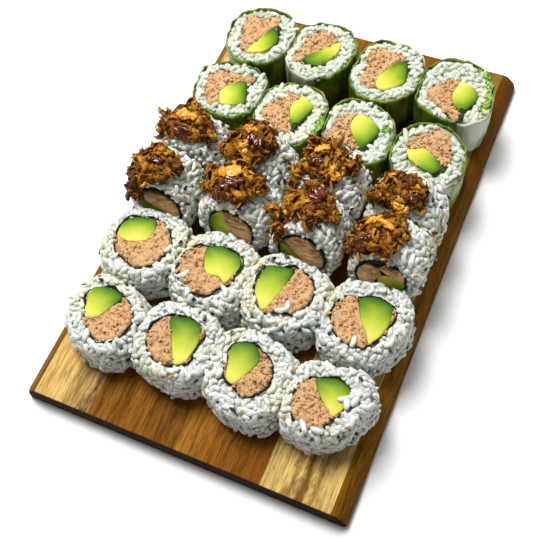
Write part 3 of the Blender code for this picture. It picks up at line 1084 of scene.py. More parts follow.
@dataclass
class Filling:
    """What a roll shows on its cut face: seaweed or scraps, flaked tuna, avocado and strips. Millimetres."""

    crumbs: list[Shape]
    band_width: float = 0.9
    band_height: float = 0.8
    band_steps: int = 110
    flake: float = 1.9
    bed_rings: int = 44
    bed_steps: int = 116
    bed_depth: float = 3.0
    sunk: float = 1.6
    crumb_count: int = 90
    crumb_sizes: tuple[float, float] = (0.9, 2.2)
    wedge_depth: float = 3.5
    wedge_edge: float = 0.6
    wedge_rings: tuple[float, ...] = (0.85, 0.76, 0.68, 0.52)

    def lay_nori(self, pile: Pile, cut: Cut, face: Face, seed: int, thick: float = 1.0) -> None:
        """Sets the seaweed round the filling as an uneven band.

        Args:
            pile: the piece that gets it.
            cut: the face's layout.
            face: where the face is.
            seed: tells one roll's band from the next.
            thick: the band's width against the usual one.
        """
        start, end = cut.nori
        whole = end - start > 359.0
        sides = 6
        deselect()
        bpy.ops.mesh.primitive_torus_add(
            major_segments=self.band_steps, minor_segments=sides, major_radius=1.0, minor_radius=0.1)
        shape = Shape.of(bpy.context.object)
        for point in shape.points:
            angle = math.atan2(point[1], point[0]) % math.tau
            outwards, up = (math.hypot(point[0], point[1]) - 1.0) / 0.1, point[2] / 0.1
            taper = 1.0
            if not whole:
                taper = math.sin(math.pi * min(0.98, max(0.02, angle / math.tau))) ** 0.5
                angle = math.radians(start + (end - start) * angle / math.tau)
            wave = ripple(math.cos(angle), math.sin(angle), 2.2, seed * 3.7)
            fine = ripple(math.cos(angle), math.sin(angle), 9.0, seed * 1.9)
            width = self.band_width * thick * taper * (0.55 + 2.6 * abs(wave) + 0.6 * fine)
            radius = cut.radius(angle) + 0.3 + 0.5 * outwards * width + 0.5 * fine
            x, y = cut.at(angle, radius)
            point[:] = x * MM, y * MM, (-0.3 + 2.6 * wave + up * self.band_height * taper) * MM
        if not whole:
            last = len(shape.points)
            shape.faces = [corners for corners in shape.faces if self._joined(shape, corners)]
            shape.faces += [tuple(range(sides)), tuple(range(last - 1, last - sides - 1, -1))]
        pile.add(shape, face.seat, 0.5)

    @staticmethod
    def _joined(shape: Shape, corners: tuple[int, ...]) -> bool:
        """Whether a band's face is short, and so doesn't bridge the band's two ends."""
        places = shape.points[list(corners)]
        return float(np.ptp(places[:, 0]) + np.ptp(places[:, 1])) < 6.0 * MM

    def _flaked(self, x: float, y: float, seed: int) -> tuple[float, float]:
        """The tuna's height and tone at a point: rounded flakes with crevices and a few pits, the tone lower
        in both as painted shade.

        Args:
            x: the point's place across.
            y: the point's place up.
            seed: tells one roll's tuna from the next.

        Returns:
            The height in millimetres and the tone from 0 to 1.
        """
        bent = Vector((x, y, seed * 7.3)) / self.flake
        bent += 0.35 * noise.noise_vector(bent * 1.7)
        bent.z = seed * 3.1
        distances = noise.voronoi(bent)[0]
        crevice = min(1.0, (distances[1] - distances[0]) / 0.32)
        swell = ripple(x, y, 0.16, seed * 1.7)
        pit = max(0.0, ripple(x, y, 0.42, seed * 2.3) - 0.22) * 3.2
        crumb = ripple(x, y, 1.1, seed * 4.1)
        height = 0.95 * crevice**0.6 + 1.2 * swell + 0.5 * crumb - 1.6 * min(1.0, pit)
        return height, 0.32 + 0.48 * crevice**0.5 + 0.5 * crumb - 0.45 * min(1.0, pit)

    def lay_tuna(self, pile: Pile, cut: Cut, face: Face, seed: int) -> None:
        """Fills the face with flaked tuna, sunk where the avocado lies, with painted shade where it is sunk
        and towards its edge.

        Args:
            pile: the piece that gets it.
            cut: the face's layout.
            face: where the face is.
            seed: tells one roll's tuna from the next.
        """
        wedge = rounded(cut.slice())
        deselect()
        bpy.ops.mesh.primitive_uv_sphere_add(segments=self.bed_steps, ring_count=self.bed_rings, radius=1.0)
        bed = Shape.of(bpy.context.object)
        tones = []
        for point in bed.points:
            angle = math.atan2(point[1], point[0])
            share = 1.0 - 2.0 * abs(math.asin(max(-1.0, min(1.0, point[2])))) / math.pi
            top = point[2] > -0.001
            ragged = 1.0 + 0.09 * ripple(math.cos(angle), math.sin(angle), 5.0, seed)
            x, y = cut.at(angle, cut.radius(angle) * share * ragged)
            height, tone = self._flaked(x, y, seed)
            rim = min(1.0, (1.0 - share) * cut.radius(angle) / 1.2)
            height = (height + 0.5) * rim**0.5 - 1.2 * (1.0 - rim)
            # Painted shade: beyond the avocado's skin side the sunk tuna gets tone 0, the crevice colour.
            if cut.hides(wedge, x, y):
                height, tone = -self.sunk, 0.0
            point[:] = Vector((x, y, height if top else -self.bed_depth)) * MM
            # Painted shade: the tone falls towards the filling's edge, where the tuna dips.
            tones.append(clamp(tone * (0.55 + 0.45 * rim)))
        pile.add(bed, face.seat, np.array(tones))
        rng = random.Random(seed)
        up = face.seat.to_3x3() @ UP
        for _ in range(self.crumb_count):
            angle, reach = rng.uniform(0.0, math.tau), rng.uniform(0.1, 1.0) ** 0.5
            x, y = cut.at(angle, reach * cut.radius(angle))
            if cut.hides(wedge, x, y):
                continue
            height, tone = self._flaked(x, y, seed)
            spot = Spot(face.seat @ (Vector((x, y, height + 0.45)) * MM), up)
            size = [rng.uniform(*self.crumb_sizes) * MM for _ in range(3)]
            seat = spot.seat(0.0, rng.uniform(0.0, math.tau), rng.gauss(0.0, 0.4), size)
            pile.add(rng.choice(self.crumbs), seat, clamp(tone + rng.uniform(-0.15, 0.2)))

    def lay_wedge(self, pile: Pile, corners: Sequence[Point], skin: float, face: Face, proud: float) -> None:
        """Sets a slice of avocado or a strip in the face.

        Args:
            pile: the piece that gets it.
            corners: the slice's outline.
            skin: the direction of its skin side, in degrees.
            face: where the face is.
            proud: how far it stands out of the face.
        """
        outline = rounded(corners)
        middle = tuple(sum(part) / len(outline) * MM for part in zip(*outline))
        deselect()
        bpy.ops.mesh.primitive_circle_add(vertices=len(outline), radius=1.0, fill_type="NGON")
        slice_ = bpy.context.object
        for vertex, (x, y) in zip(slice_.data.vertices, outline):
            vertex.co = Vector((x, y, -self.wedge_depth)) * MM
        edge = self.wedge_edge
        steps = [(self.wedge_depth + proud - edge, 1.0), (0.65 * edge, 0.985), (0.35 * edge, 0.975)]
        steps += [(0.05, share) for share in self.wedge_rings]
        with editing(slice_, everywhere):
            bpy.ops.mesh.select_mode(type="FACE")
            bpy.ops.mesh.select_all(action="SELECT")
            for rise, share in steps:
                bpy.ops.mesh.extrude_region_move(TRANSFORM_OT_translate={"value": (0.0, 0.0, rise * MM)})
                bpy.ops.transform.resize(value=(share, share, 1.0), center_override=(*middle, 0.0))
            bpy.ops.mesh.select_all(action="SELECT")
            bpy.ops.mesh.normals_make_consistent(inside=False)
        shape = Shape.of(slice_)
        pile.add(shape, face.seat, self._depths(shape, outline, skin))

    @staticmethod
    def _depths(shape: Shape, outline: Sequence[Point], skin: float) -> np.ndarray:
        """How far each point is from the skin, from 0 to 1.

        Args:
            shape: the slice.
            outline: its outline in millimetres.
            skin: the direction of its skin side, in degrees.

        Returns:
            A number for each point.
        """
        towards = np.array((math.cos(math.radians(skin)), math.sin(math.radians(skin))))
        edge = np.array(outline)
        reach = edge @ towards
        places = shape.points[:, :2] / MM
        skin_edge = edge[reach > reach.max() - 0.34 * np.ptp(reach)]
        gaps = np.linalg.norm(places[:, None, :] - skin_edge[None, :, :], axis=2).min(axis=1)
        linear = (reach.max() - places @ towards) / np.ptp(reach)
        return np.clip(0.45 * linear + 0.55 * gaps / max(gaps.max(), 0.001), 0.0, 1.0)


@dataclass
class Kit:
    """The finishes and small shapes that all the rolls share."""

    rice: Rice
    pressed_rice: Rice
    wrapped_rice: Rice
    filling: Filling
    rice_finish: bpy.types.Material
    # a darker, greener copy of the rice finish: painted shade on the rice in the wraps
    wrapped_rice_finish: bpy.types.Material
    nori_finish: bpy.types.Material
    scrap_finish: bpy.types.Material
    tuna_finish: bpy.types.Material
    avocado_finish: bpy.types.Material

    def fill(self, row: str, laid: Sequence[tuple[Cut, Face]], seed: int) -> None:
        """Makes a standing row's tuna and avocado.

        Args:
            row: the row's name.
            laid: each roll's cut face and where it is.
            seed: the first roll's seed.
        """
        tuna, avocado = Pile(), Pile("depth")
        for index, (cut, face) in enumerate(laid):
            self.filling.lay_tuna(tuna, cut, face, seed + index)
            self.filling.lay_wedge(avocado, cut.slice(), cut.skin, face, 1.0)
        hang(tuna.build(f"{row}s_tuna"), self.tuna_finish, Slot.TUNA)
        hang(avocado.build(f"{row}s_avocado"), self.avocado_finish, Slot.AVOCADO)


@dataclass
class StandingRow:
    """A row of rice rolls that stand with one cut face up. Millimetres.

    A stray is a grain on a filling: its roll, its place on the face, its turn in degrees and its lift.
    """

    name: str
    places: tuple[Point, ...]
    cuts: tuple[Cut, ...]
    strays: tuple[tuple[int, float, float, float, float], ...]
    seed: int
    face_height: float = 40.0
    bare_rim: float = 1.4
    rim_sway: float = 3.0
    least_rim: float = 0.2

    def build(self, kit: Kit) -> None:
        """Makes the row's rice, seaweed, tuna and avocado.

        Args:
            kit: the shared finishes and shapes.
        """
        nori, laid = Pile(), []
        for index, ((x, y), cut) in enumerate(zip(self.places, self.cuts)):
            rng = random.Random(self.seed + index)
            face = Face.flat(x, y, self.face_height)
            self._lay_rice(f"{self.name}_{index + 1}", cut, face, kit, rng)
            kit.filling.lay_nori(nori, cut, face, self.seed + index)
            laid.append((cut, face))
        hang(nori.build(f"{self.name}s_nori"), kit.nori_finish, Slot.NORI)
        kit.fill(self.name, laid, self.seed)
        self._lay_strays(kit)

    def _lay_strays(self, kit: Kit) -> None:
        """Drops the row's stray grains on its fillings.

        Args:
            kit: the shared finishes and shapes.
        """
        pile = Pile()
        rng = random.Random(self.seed)
        for index, x, y, turn, lift in self.strays:
            middle_x, middle_y = self.places[index]
            place = Vector((middle_x + x, middle_y + y, self.face_height)) * MM
            size = [rng.uniform(0.9, 1.1) for _ in range(3)]
            seat = Spot(place, UP).seat(lift * MM, math.radians(turn), rng.gauss(0.0, 0.12), size)
            pile.add(rng.choice(kit.rice.grains), seat, rng.uniform(0.5, 1.0))
        hang(pile.build(f"{self.name}s_stray_rice"), kit.rice_finish, Slot.RICE)

    def _lay_rice(self, node: str, cut: Cut, face: Face, kit: Kit, rng: random.Random) -> None:
        """Coats one roll's sides and the rim of its cut face.

        Args:
            node: the roll's CAD node.
            cut: its cut face's layout.
            face: where the face is.
            kit: the shared finishes and shapes.
            rng: the seeded source of chance.
        """
        solid = Solid(node)

        def bare(place: Vector, out: Vector) -> bool:
            """Whether rice lies at a place."""
            x, y, _ = face.local(place)
            uneven = ripple(x, y, 0.16, self.seed + face.seat.translation.x * 90.0)
            margin = max(self.least_rim, self.bare_rim + self.rim_sway * uneven)
            if out.z > 0.6 and cut.holds(x, y, margin):
                return False
            return kit.rice.on_side(place)

        pile = Pile()
        # Painted shade: the core's upward faces get a tone of -0.1 and its sides -0.3, so the gaps on the
        # sides show darker.
        top = solid.normals[:, 2] > 0.6
        pile.add(solid.core(kit.rice.core_depth), IN_PLACE, np.where(top, -0.1, -0.3))
        for spacing, on_face in ((kit.rice.spacing, False), (kit.rice.face_spacing, True)):
            spots = [spot for spot in solid.spots(rng, spacing, bare) if (spot.out.z > 0.7) == on_face]
            kit.rice.coat(pile, spots, UP, rng)
        hang(pile.build(f"{node}_rice"), kit.rice_finish, Slot.RICE, node)


@dataclass
class LyingRow:
    """A row of rice rolls that lie with their cut faces to the front and back. Millimetres."""

    name: str
    places: tuple[Point, ...]
    rings: tuple[Cut, ...]
    strips: tuple[tuple[tuple[Point, ...], ...], ...]
    seed: int
    axis_height: float = 35.1
    half_length: float = 13.5
    lean: float = 0.22

    def build(self, kit: Kit) -> None:
        """Makes the row's rice, and the filling where a face shows.

        Args:
            kit: the shared finishes and shapes.
        """
        nori, avocado, strips = Pile(), Pile("depth"), Pile("depth")
        for index, (x, y) in enumerate(self.places):
            rng = random.Random(self.seed + index)
            face = Face.leaning(x, y - self.half_length, self.axis_height, self.lean)
            cut = self.rings[index] if self.rings else None
            self._lay_rice(f"{self.name}_{index + 1}", cut, face, kit, rng)
            if cut:
                kit.filling.lay_nori(nori, cut, face, self.seed + index, 0.6)
                kit.filling.lay_wedge(nori, cut.disc(), 90.0, face, -0.4)
                kit.filling.lay_wedge(avocado, cut.slice(), cut.skin, face, 0.6)
                for outline in self.strips[index]:
                    kit.filling.lay_wedge(strips, outline, 90.0, face, 1.1)
        if self.rings:
            hang(nori.build(f"{self.name}s_nori"), kit.nori_finish, Slot.NORI)
            hang(avocado.build(f"{self.name}s_avocado"), kit.avocado_finish, Slot.AVOCADO)
            hang(strips.build(f"{self.name}s_strips"), StripFinish().material(), Slot.STRIP)

    def _lay_rice(self, node: str, cut: Cut | None, face: Face, kit: Kit, rng: random.Random) -> None:
        """Coats one roll all round.

        Args:
            node: the roll's CAD node.
            cut: its front face's layout, if it has one.
            face: where the front face is.
            kit: the shared finishes and shapes.
            rng: the seeded source of chance.
        """
        solid = Solid(node)

        def bare(place: Vector, out: Vector) -> bool:
            """Whether rice lies at a place."""
            x, y, _ = face.local(place)
            if cut and out.y < -0.6 and cut.holds(x, y, 1.5):
                return False
            return rice.on_side(place)

        rice = kit.pressed_rice
        pile = Pile()
        pile.add(solid.core(rice.core_depth), IN_PLACE, rice.core_shade_tone)
        rice.coat(pile, solid.spots(rng, rice.spacing, bare), Vector((0.0, -1.0, 0.2)).normalized(), rng)
        hang(pile.build(f"{node}_rice"), kit.rice_finish, Slot.RICE, node)


@dataclass
class WrappedRow:
    """A row of standing rolls in a thin green wrap, with rice round the filling. Millimetres."""

    name: str
    places: tuple[Point, ...]
    cuts: tuple[Cut, ...]
    seed: int
    face_height: float = 43.0
    wall: float = 1.0
    rim: float = 2.2
    scrap_width: float = 2.6
    crease: float = 0.6
    steps_round: int = 96
    steps_up: int = 14

    def build(self, kit: Kit, wrap_finish: bpy.types.Material) -> None:
        """Makes the row's wraps, rice, leaf scraps, tuna and avocado.

        Args:
            kit: the shared finishes and shapes.
            wrap_finish: the wraps' material.
        """
        scraps, laid = Pile(), []
        for index, ((x, y), cut) in enumerate(zip(self.places, self.cuts)):
            rng = random.Random(self.seed + index)
            node = f"{self.name}_{index + 1}"
            solid = Solid(node)
            face = Face.flat(x, y, self.face_height)
            self._lay_rice(node, solid, cut, face, kit, rng)
            hang(self._wrap(f"{node}_wrap", solid, cut, (x, y)), wrap_finish, Slot.WRAP, node)
            kit.filling.lay_nori(scraps, cut, face, self.seed + index, self.scrap_width)
            laid.append((cut, face))
        hang(scraps.build(f"{self.name}s_leaf_scraps"), kit.scrap_finish, Slot.WRAP)
        kit.fill(self.name, laid, self.seed)

    def _lay_rice(self, node: str, solid: Solid, cut: Cut, face: Face, kit: Kit, rng: random.Random) -> None:
        """Covers the rim of one roll's cut face.

        Args:
            node: the roll's CAD node.
            solid: that node's outside.
            cut: its cut face's layout.
            face: where the face is.
            kit: the shared finishes and shapes.
            rng: the seeded source of chance.
        """

        def bare(place: Vector, out: Vector) -> bool:
            """Whether rice lies at a place."""
            x, y, _ = face.local(place)
            if out.z < 0.75 or cut.holds(x, y, 0.8):
                return False
            way = (place - face.seat.translation) * Vector((1.0, 1.0, 0.0))
            inside = face.seat.translation - Vector((0.0, 0.0, 6.0 * MM))
            side = solid.tree.ray_cast(inside + way.normalized() * 0.05, -way)[0] - inside
            return side.length - way.length > self.rim * MM

        rice = kit.wrapped_rice
        pile = Pile()
        pile.add(solid.core(rice.core_depth), IN_PLACE, rice.core_shade_tone)
        rice.coat(pile, solid.spots(rng, rice.spacing, bare), UP, rng)
        hang(pile.build(f"{node}_rice"), kit.wrapped_rice_finish, Slot.RICE, node)

    def _wrap(self, name: str, solid: Solid, cut: Cut, middle: Point) -> bpy.types.Object:
        """Pulls an open tube onto the roll's sides, with upright creases and an uneven top edge.

        Args:
            name: the piece's name.
            solid: the roll's CAD outside.
            cut: the roll's layout, for where the wrap is stretched.
            middle: the roll's middle.

        Returns:
            The wrap.
        """
        deselect()
        bpy.ops.mesh.primitive_cylinder_add(
            vertices=self.steps_round, radius=1.0, depth=1.0, end_fill_type="NOTHING")
        wrap = bpy.context.object
        wrap.name = name
        with editing(wrap, everywhere):
            bpy.ops.mesh.select_all(action="DESELECT")
            bm = bmesh.from_edit_mesh(wrap.data)
            upright = [edge for edge in bm.edges if abs(edge.verts[0].co.z - edge.verts[1].co.z) > 0.5]
            bmesh.ops.subdivide_edges(bm, edges=upright, cuts=self.steps_up)
            bmesh.update_edit_mesh(wrap.data)
        height = self.face_height + 0.9 - FOOT
        film = []
        for vertex in wrap.data.vertices:
            angle, share = math.atan2(vertex.co.y, vertex.co.x), vertex.co.z + 0.5
            way = Vector((math.cos(angle), math.sin(angle), 0.0))
            low = (FOOT + min(share, 0.93) * height) * MM
            axis = Vector((middle[0] * MM, middle[1] * MM, low))
            hit, _, _, _ = solid.tree.ray_cast(axis + way * 0.05, -way)
            ridge = ripple(way.x, way.y, 7.0, share * 0.8 + middle[0])
            fine = ripple(way.x, way.y, 22.0, share * 1.6 + middle[1])
            edge = (ripple(way.x, way.y, 3.5, middle[0]) - 0.25) * share**6
            lift = (0.45 + self.crease * (ridge + 0.5 * fine) - 0.6 * share**8) * MM
            vertex.co = hit + way * lift
            vertex.co.z = (FOOT + share * height + 2.2 * edge) * MM
            film.append(self._film(cut, math.degrees(angle), share))
        store(wrap.data, "film", film)
        apply(wrap, "SOLIDIFY", thickness=self.wall * MM, offset=-1.0)
        wrap.data.shade_smooth()
        return wrap

    @staticmethod
    def _film(cut: Cut, angle: float, share: float) -> float:
        """How far the wrap is stretched thin at an angle in degrees and a share of its height."""
        stretch = 0.0
        for middle in cut.film:
            away = abs((angle - middle + 180.0) % 360.0 - 180.0)
            stretch = max(stretch, 1.0 - away / 38.0 + 0.25 * (share - 0.5))
        return clamp(stretch)


@dataclass(frozen=True)
class Frill:
    """A frilled strip of lettuce on a cut face: the roll's middle, and its ends in degrees and in reach."""

    middle: Point
    start: float
    end: float
    reach: tuple[float, float]


@dataclass
class Lettuce:
    """Frilled strips of lettuce between the rice and the wrap. Millimetres."""

    frills: tuple[Frill, ...]
    height: float = 43.6
    width: float = 4.2
    wave: float = 1.5
    thickness: float = 0.35

    def build(self, material: bpy.types.Material) -> None:
        """Makes the one piece of lettuce.

        Args:
            material: its finish.
        """
        pile = Pile()
        for index, frill in enumerate(self.frills):
            pile.add(self._strip(frill, index), IN_PLACE, 0.5)
        hang(pile.build("lettuce"), material, Slot.WRAP)

    def _strip(self, frill: Frill, index: int) -> Shape:
        """Bends a flat grid round the roll and frills its edges.

        Args:
            frill: where the strip lies.
            index: tells one strip's waves from the next.

        Returns:
            The strip.
        """
        deselect()
        bpy.ops.mesh.primitive_grid_add(x_subdivisions=44, y_subdivisions=7, size=1.0)
        strip = bpy.context.object
        for vertex in strip.data.vertices:
            along, across = vertex.co.x + 0.5, vertex.co.y
            swirl = noise.noise(Vector((along * 7.0, across * 1.5, index * 4.3)))
            frilly = noise.noise(Vector((along * 16.0, across * 3.0, index * 2.7)))
            angle = math.radians(frill.start + (frill.end - frill.start) * along)
            taper = math.sin(math.pi * min(0.97, max(0.03, along))) ** 0.5
            reach = frill.reach[0] + (frill.reach[1] - frill.reach[0]) * along
            reach += taper * self.width * across + 1.3 * swirl
            lift = self.wave * (frilly + 0.8 * swirl) * (0.4 + 2.0 * abs(across)) + 0.6 * taper
            vertex.co = Vector((
                frill.middle[0] + reach * math.cos(angle),
                frill.middle[1] + reach * math.sin(angle),
                self.height + lift,
            )) * MM
        apply(strip, "SOLIDIFY", thickness=self.thickness * MM, offset=0.0)
        return Shape.of(strip)


# ---- toppings ----


@dataclass
class OnionHeaps:
    """Heaps of fried onion on the lying rolls, each over its CAD solid's own core. Millimetres.

    A layer is its shreds' spacing, lift and tone; the low tones of the lower layer and of the core are
    painted shade. Sizes are least and most along, across and out.
    """

    rows: tuple[str, ...] = ("near_onion_heap", "far_onion_heap")
    count: int = 4
    core_depth: float = 3.2
    # Painted shade: the lower layer's tone of 0.30 is darker than the upper one's 0.58.
    layers: tuple[Triple, ...] = ((3.0, -3.0, 0.30), (3.1, -1.7, 0.58))
    long_share: float = 0.25
    long_sizes: tuple[Point, ...] = ((8.0, 11.5), (2.5, 4.0), (1.8, 3.4))
    short_sizes: tuple[Point, ...] = ((4.0, 7.5), (3.0, 6.0), (1.8, 3.4))
    seed: int = 900

    def build(self, shapes: Sequence[Shape], material: bpy.types.Material) -> None:
        """Makes the heaps.

        Args:
            shapes: the shreds.
            material: their finish.
        """
        for row in self.rows:
            for index in range(self.count):
                node = f"{row}_{index + 1}"
                rng = random.Random(f"{self.seed}{node}")
                solid = Solid(node)
                pile = Pile()
                # Painted shade: the core, seen between the shreds, gets a nearly black tone.
                pile.add(solid.core(self.core_depth), IN_PLACE, 0.05)
                for spacing, lift, tone in self.layers:
                    for spot in solid.spots(rng, spacing, lambda place, out: out.z > -0.45):
                        self._lay_shred(pile, spot, lift, tone, shapes, rng)
                hang(pile.build(f"{node}_flakes"), material, Slot.ONION, node)

    def _lay_shred(self, pile: Pile, spot: Spot, lift: float, tone: float, shapes: Sequence[Shape],
                   rng: random.Random) -> None:
        """Lays one shred, flat or tipped up.

        Args:
            pile: the piece that gets it.
            spot: where it lies.
            lift: its layer's height.
            tone: its layer's tone.
            shapes: the shreds.
            rng: the seeded source of chance.
        """
        limits = self.long_sizes if rng.random() < self.long_share else self.short_sizes
        size = [rng.uniform(*pair) * MM for pair in limits]
        lift = (lift + rng.uniform(-0.8, 0.9)) * MM
        turn, tilt, roll = rng.uniform(0.0, math.tau), rng.gauss(0.0, 0.26), rng.gauss(0.0, 0.6)
        seat = spot.seat(lift, turn, tilt, size, roll)
        shape = rng.choice(shapes)
        fray = np.array([rng.uniform(-0.16, 0.16) for _ in shape.points])
        pile.add(shape, seat, np.clip(rng.gauss(tone, 0.3) + fray, 0.0, 1.0))


@dataclass(frozen=True)
class Drop:
    """A drop of dressing or sauce: the heap it lies on, and its middle, size and turn."""

    node: str
    x: float
    y: float
    length: float
    width: float
    turn: float = 0.0


@dataclass
class Drops:
    """All the drops of one dressing or sauce, made one smooth piece. Millimetres."""

    name: str
    drops: tuple[Drop, ...]
    height: float = 4.0
    seed: int = 40
    lift: float = 0.8
    parts: int = 5

    def build(self, material: bpy.types.Material, slot: Slot) -> None:
        """Sets each drop on its heap.

        Args:
            material: the dressing's finish.
            slot: its slot in the record.
        """
        pile = Pile()
        rng = random.Random(self.seed)
        for index, drop in enumerate(self.drops):
            solid = Solid(drop.node)
            turn = math.radians(drop.turn)
            for part in range(self.parts):
                along = (part / (self.parts - 1) - 0.5) * 0.62 * drop.length
                aside = rng.uniform(-0.28, 0.28) * drop.width
                x = drop.x + along * math.cos(turn) - aside * math.sin(turn)
                y = drop.y + along * math.sin(turn) + aside * math.cos(turn)
                share = rng.uniform(0.42, 0.72)
                spans = (share * drop.length, share * 1.25 * drop.width, share * 1.4 * self.height)
                size = [span * MM for span in spans]
                seat = solid.top_at(x, y).seat(self.lift * MM, turn + rng.uniform(-0.5, 0.5), 0.0, size)
                pile.add(self._blob(index + 0.3 * part), seat, 0.5)
        hang(pile.build(self.name), material, slot)

    def _blob(self, index: float) -> Shape:
        """A soft uneven blob, 1 mm across before it is sized."""
        deselect()
        bpy.ops.mesh.primitive_ico_sphere_add(subdivisions=3, radius=0.5)
        blob = bpy.context.object
        for vertex in blob.data.vertices:
            swell = noise.noise(vertex.co * 2.6 + Vector((index * 5.1, self.seed, 0.0)))
            vertex.co *= 1.0 + 0.7 * swell
        return Shape.of(blob)


@dataclass
class Sesame:
    """Sesame seeds scattered over the rice, black and toasted. Millimetres."""

    rows: tuple[str, ...] = ("front_roll", "second_roll", "near_topped_roll", "far_topped_roll")
    black_each: int = 9
    tan_each: int = 8
    lift: float = 0.9
    lying_lift: float = 1.5
    lying_extra: int = 6
    shown: tuple[tuple[str, float, float], ...] = (
        ("far_topped_roll_1", -45.5, 6.3),
        ("far_topped_roll_1", -44.6, 3.2),
        ("far_topped_roll_2", -5.0, 20.4),
        ("far_topped_roll_2", -11.6, 5.8),
        ("far_topped_roll_2", -2.8, 11.3),
        ("far_topped_roll_3", 35.9, 17.3),
        ("far_topped_roll_4", 78.4, 20.6),
        ("far_topped_roll_4", 75.8, 6.7),
        ("near_topped_roll_3", 30.4, -15.5),
        ("near_topped_roll_3", 25.0, -14.0),
    )
    shown_lift: float = 1.9
    shown_size: Triple = (1.2, 1.2, 1.2)
    spacing: float = 5.0
    filling_reach: float = 17.5
    front_reach: float = 16.0
    least_height: float = 21.0
    seed: int = 70

    def build(self, shapes: Sequence[Shape]) -> None:
        """Makes the two pieces of seeds.

        Args:
            shapes: the seed.
        """
        black = SesameFinish("black_sesame", (0.006, 0.006, 0.007), (0.02, 0.018, 0.016))
        tan = SesameFinish("toasted_sesame", (0.58, 0.38, 0.14), (0.38, 0.21, 0.06))
        for finish, each in ((black, self.black_each), (tan, self.tan_each)):
            pile = Pile()
            for row in self.rows:
                lying = "topped" in row
                lift, count = (self.lying_lift, each + self.lying_extra) if lying else (self.lift, each)
                for index in range(4):
                    node = f"{row}_{index + 1}"
                    rng = random.Random(f"{self.seed}{finish.name}{node}")
                    solid = Solid(node)
                    wanted = partial(self._on_rice, Vector(solid.points.mean(axis=0)))
                    for spot in solid.spots(rng, self.spacing, wanted)[:count]:
                        turn, tilt = rng.uniform(0.0, math.tau), rng.gauss(0.0, 0.3)
                        seat = spot.seat(lift * MM, turn, tilt, (1.0, 1.0, 1.0))
                        pile.add(shapes[0], seat, 0.5)
            if finish is black:
                self._add_shown(pile, shapes[0])
            hang(pile.build(finish.name), finish.material(), Slot.SESAME)

    def _add_shown(self, pile: Pile, shape: Shape) -> None:
        """Adds the black seeds that stand out on the lying rolls' flanks.

        Args:
            pile: the piece that gets them.
            shape: the seed.
        """
        rng = random.Random(self.seed)
        for node, x, y in self.shown:
            turn, tilt = rng.uniform(0.0, math.tau), rng.gauss(0.0, 0.2)
            seat = Solid(node).top_at(x, y).seat(self.shown_lift * MM, turn, tilt, self.shown_size)
            pile.add(shape, seat, 0.5)

    def _on_rice(self, middle: Vector, place: Vector, out: Vector) -> bool:
        """Whether a place is on a roll's rice, and not on its filling or low down."""
        near = (place - middle).xy.length < self.filling_reach * MM
        on_face = abs(out.z) > 0.7 and near and place.z > middle.z
        on_front = out.y < -0.75 and abs(place.x - middle.x) < self.front_reach * MM
        return place.z > self.least_height * MM and out.z > -0.1 and not on_face and not on_front


# ---- board and studio ----


@dataclass
class Board:
    """The acacia board, which keeps its CAD form."""

    node: str = "board"

    def dress(self) -> None:
        """Gives the board its wood."""
        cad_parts[self.node].material_slots[0].material = AcaciaFinish().material()
        log.info("%s: dressed", self.node)


@dataclass(frozen=True)
class Lamp:
    """A square soft light that faces the platter: its place and side in metres, and its watts."""

    name: str
    place: Triple
    side: float
    watts: float


@dataclass
class Studio:
    """A plain pale floor, soft lights and the photo's camera. Metres and degrees."""

    azimuth: float = 34.47
    elevation: float = 62.18
    roll: float = -12.34
    place: Triple = (0.13169, -0.21551, 0.44004)
    lens: float = 57.06
    floor_size: float = 6.0
    lamps: tuple[Lamp, ...] = (
        Lamp("key", (-0.32, 0.2, 1.05), 0.45, 16.0),
        Lamp("back", (0.1, 0.9, 0.8), 0.6, 2.5),
    )
    daylight: float = 0.24

    def build(self) -> None:
        """Makes the floor, the lights and the camera."""
        deselect()
        bpy.ops.mesh.primitive_plane_add(size=self.floor_size)
        floor = bpy.context.object
        floor.name = "floor"
        floor.data.materials.append(FloorFinish().material())
        for lamp in self.lamps:
            self._hang_lamp(lamp)
        world = bpy.data.worlds.new("studio")
        world.use_nodes = True
        sky = world.node_tree.nodes["Background"].inputs
        sky["Color"].default_value = (1.0, 1.0, 1.0, 1.0)
        sky["Strength"].default_value = self.daylight
        scene = bpy.context.scene
        scene.world = world
        scene.view_settings.view_transform = "Standard"
        self._camera()

    @staticmethod
    def _hang_lamp(lamp: Lamp) -> None:
        """Adds a soft light that faces the platter."""
        data = bpy.data.lights.new(lamp.name, "AREA")
        data.size = lamp.side
        data.energy = lamp.watts
        light = bpy.data.objects.new(lamp.name, data)
        light.location = lamp.place
        light.rotation_euler = (-Vector(lamp.place)).to_track_quat("-Z", "Y").to_euler()
        bpy.context.scene.collection.objects.link(light)

    def _camera(self) -> None:
        """Sets up the camera from its azimuth, elevation and roll."""
        turn, rise, roll = (math.radians(angle) for angle in (self.azimuth, self.elevation, self.roll))
        back = Vector((math.sin(turn) * math.cos(rise), -math.cos(turn) * math.cos(rise), math.sin(rise)))
        right = Vector((math.cos(turn), math.sin(turn), 0.0))
        up = back.cross(right)
        side = right * math.cos(roll) + up * math.sin(roll)
        top = up * math.cos(roll) - right * math.sin(roll)
        data = bpy.data.cameras.new("camera")
        data.lens = self.lens
        data.clip_start = 0.01
        camera = bpy.data.objects.new("camera", data)
        aim = Matrix((side, top, back)).transposed().to_4x4()
        camera.matrix_world = Matrix.Translation(self.place) @ aim
        bpy.context.scene.collection.objects.link(camera)
        bpy.context.scene.camera = camera


# ---- the platter's layout, in millimetres ----

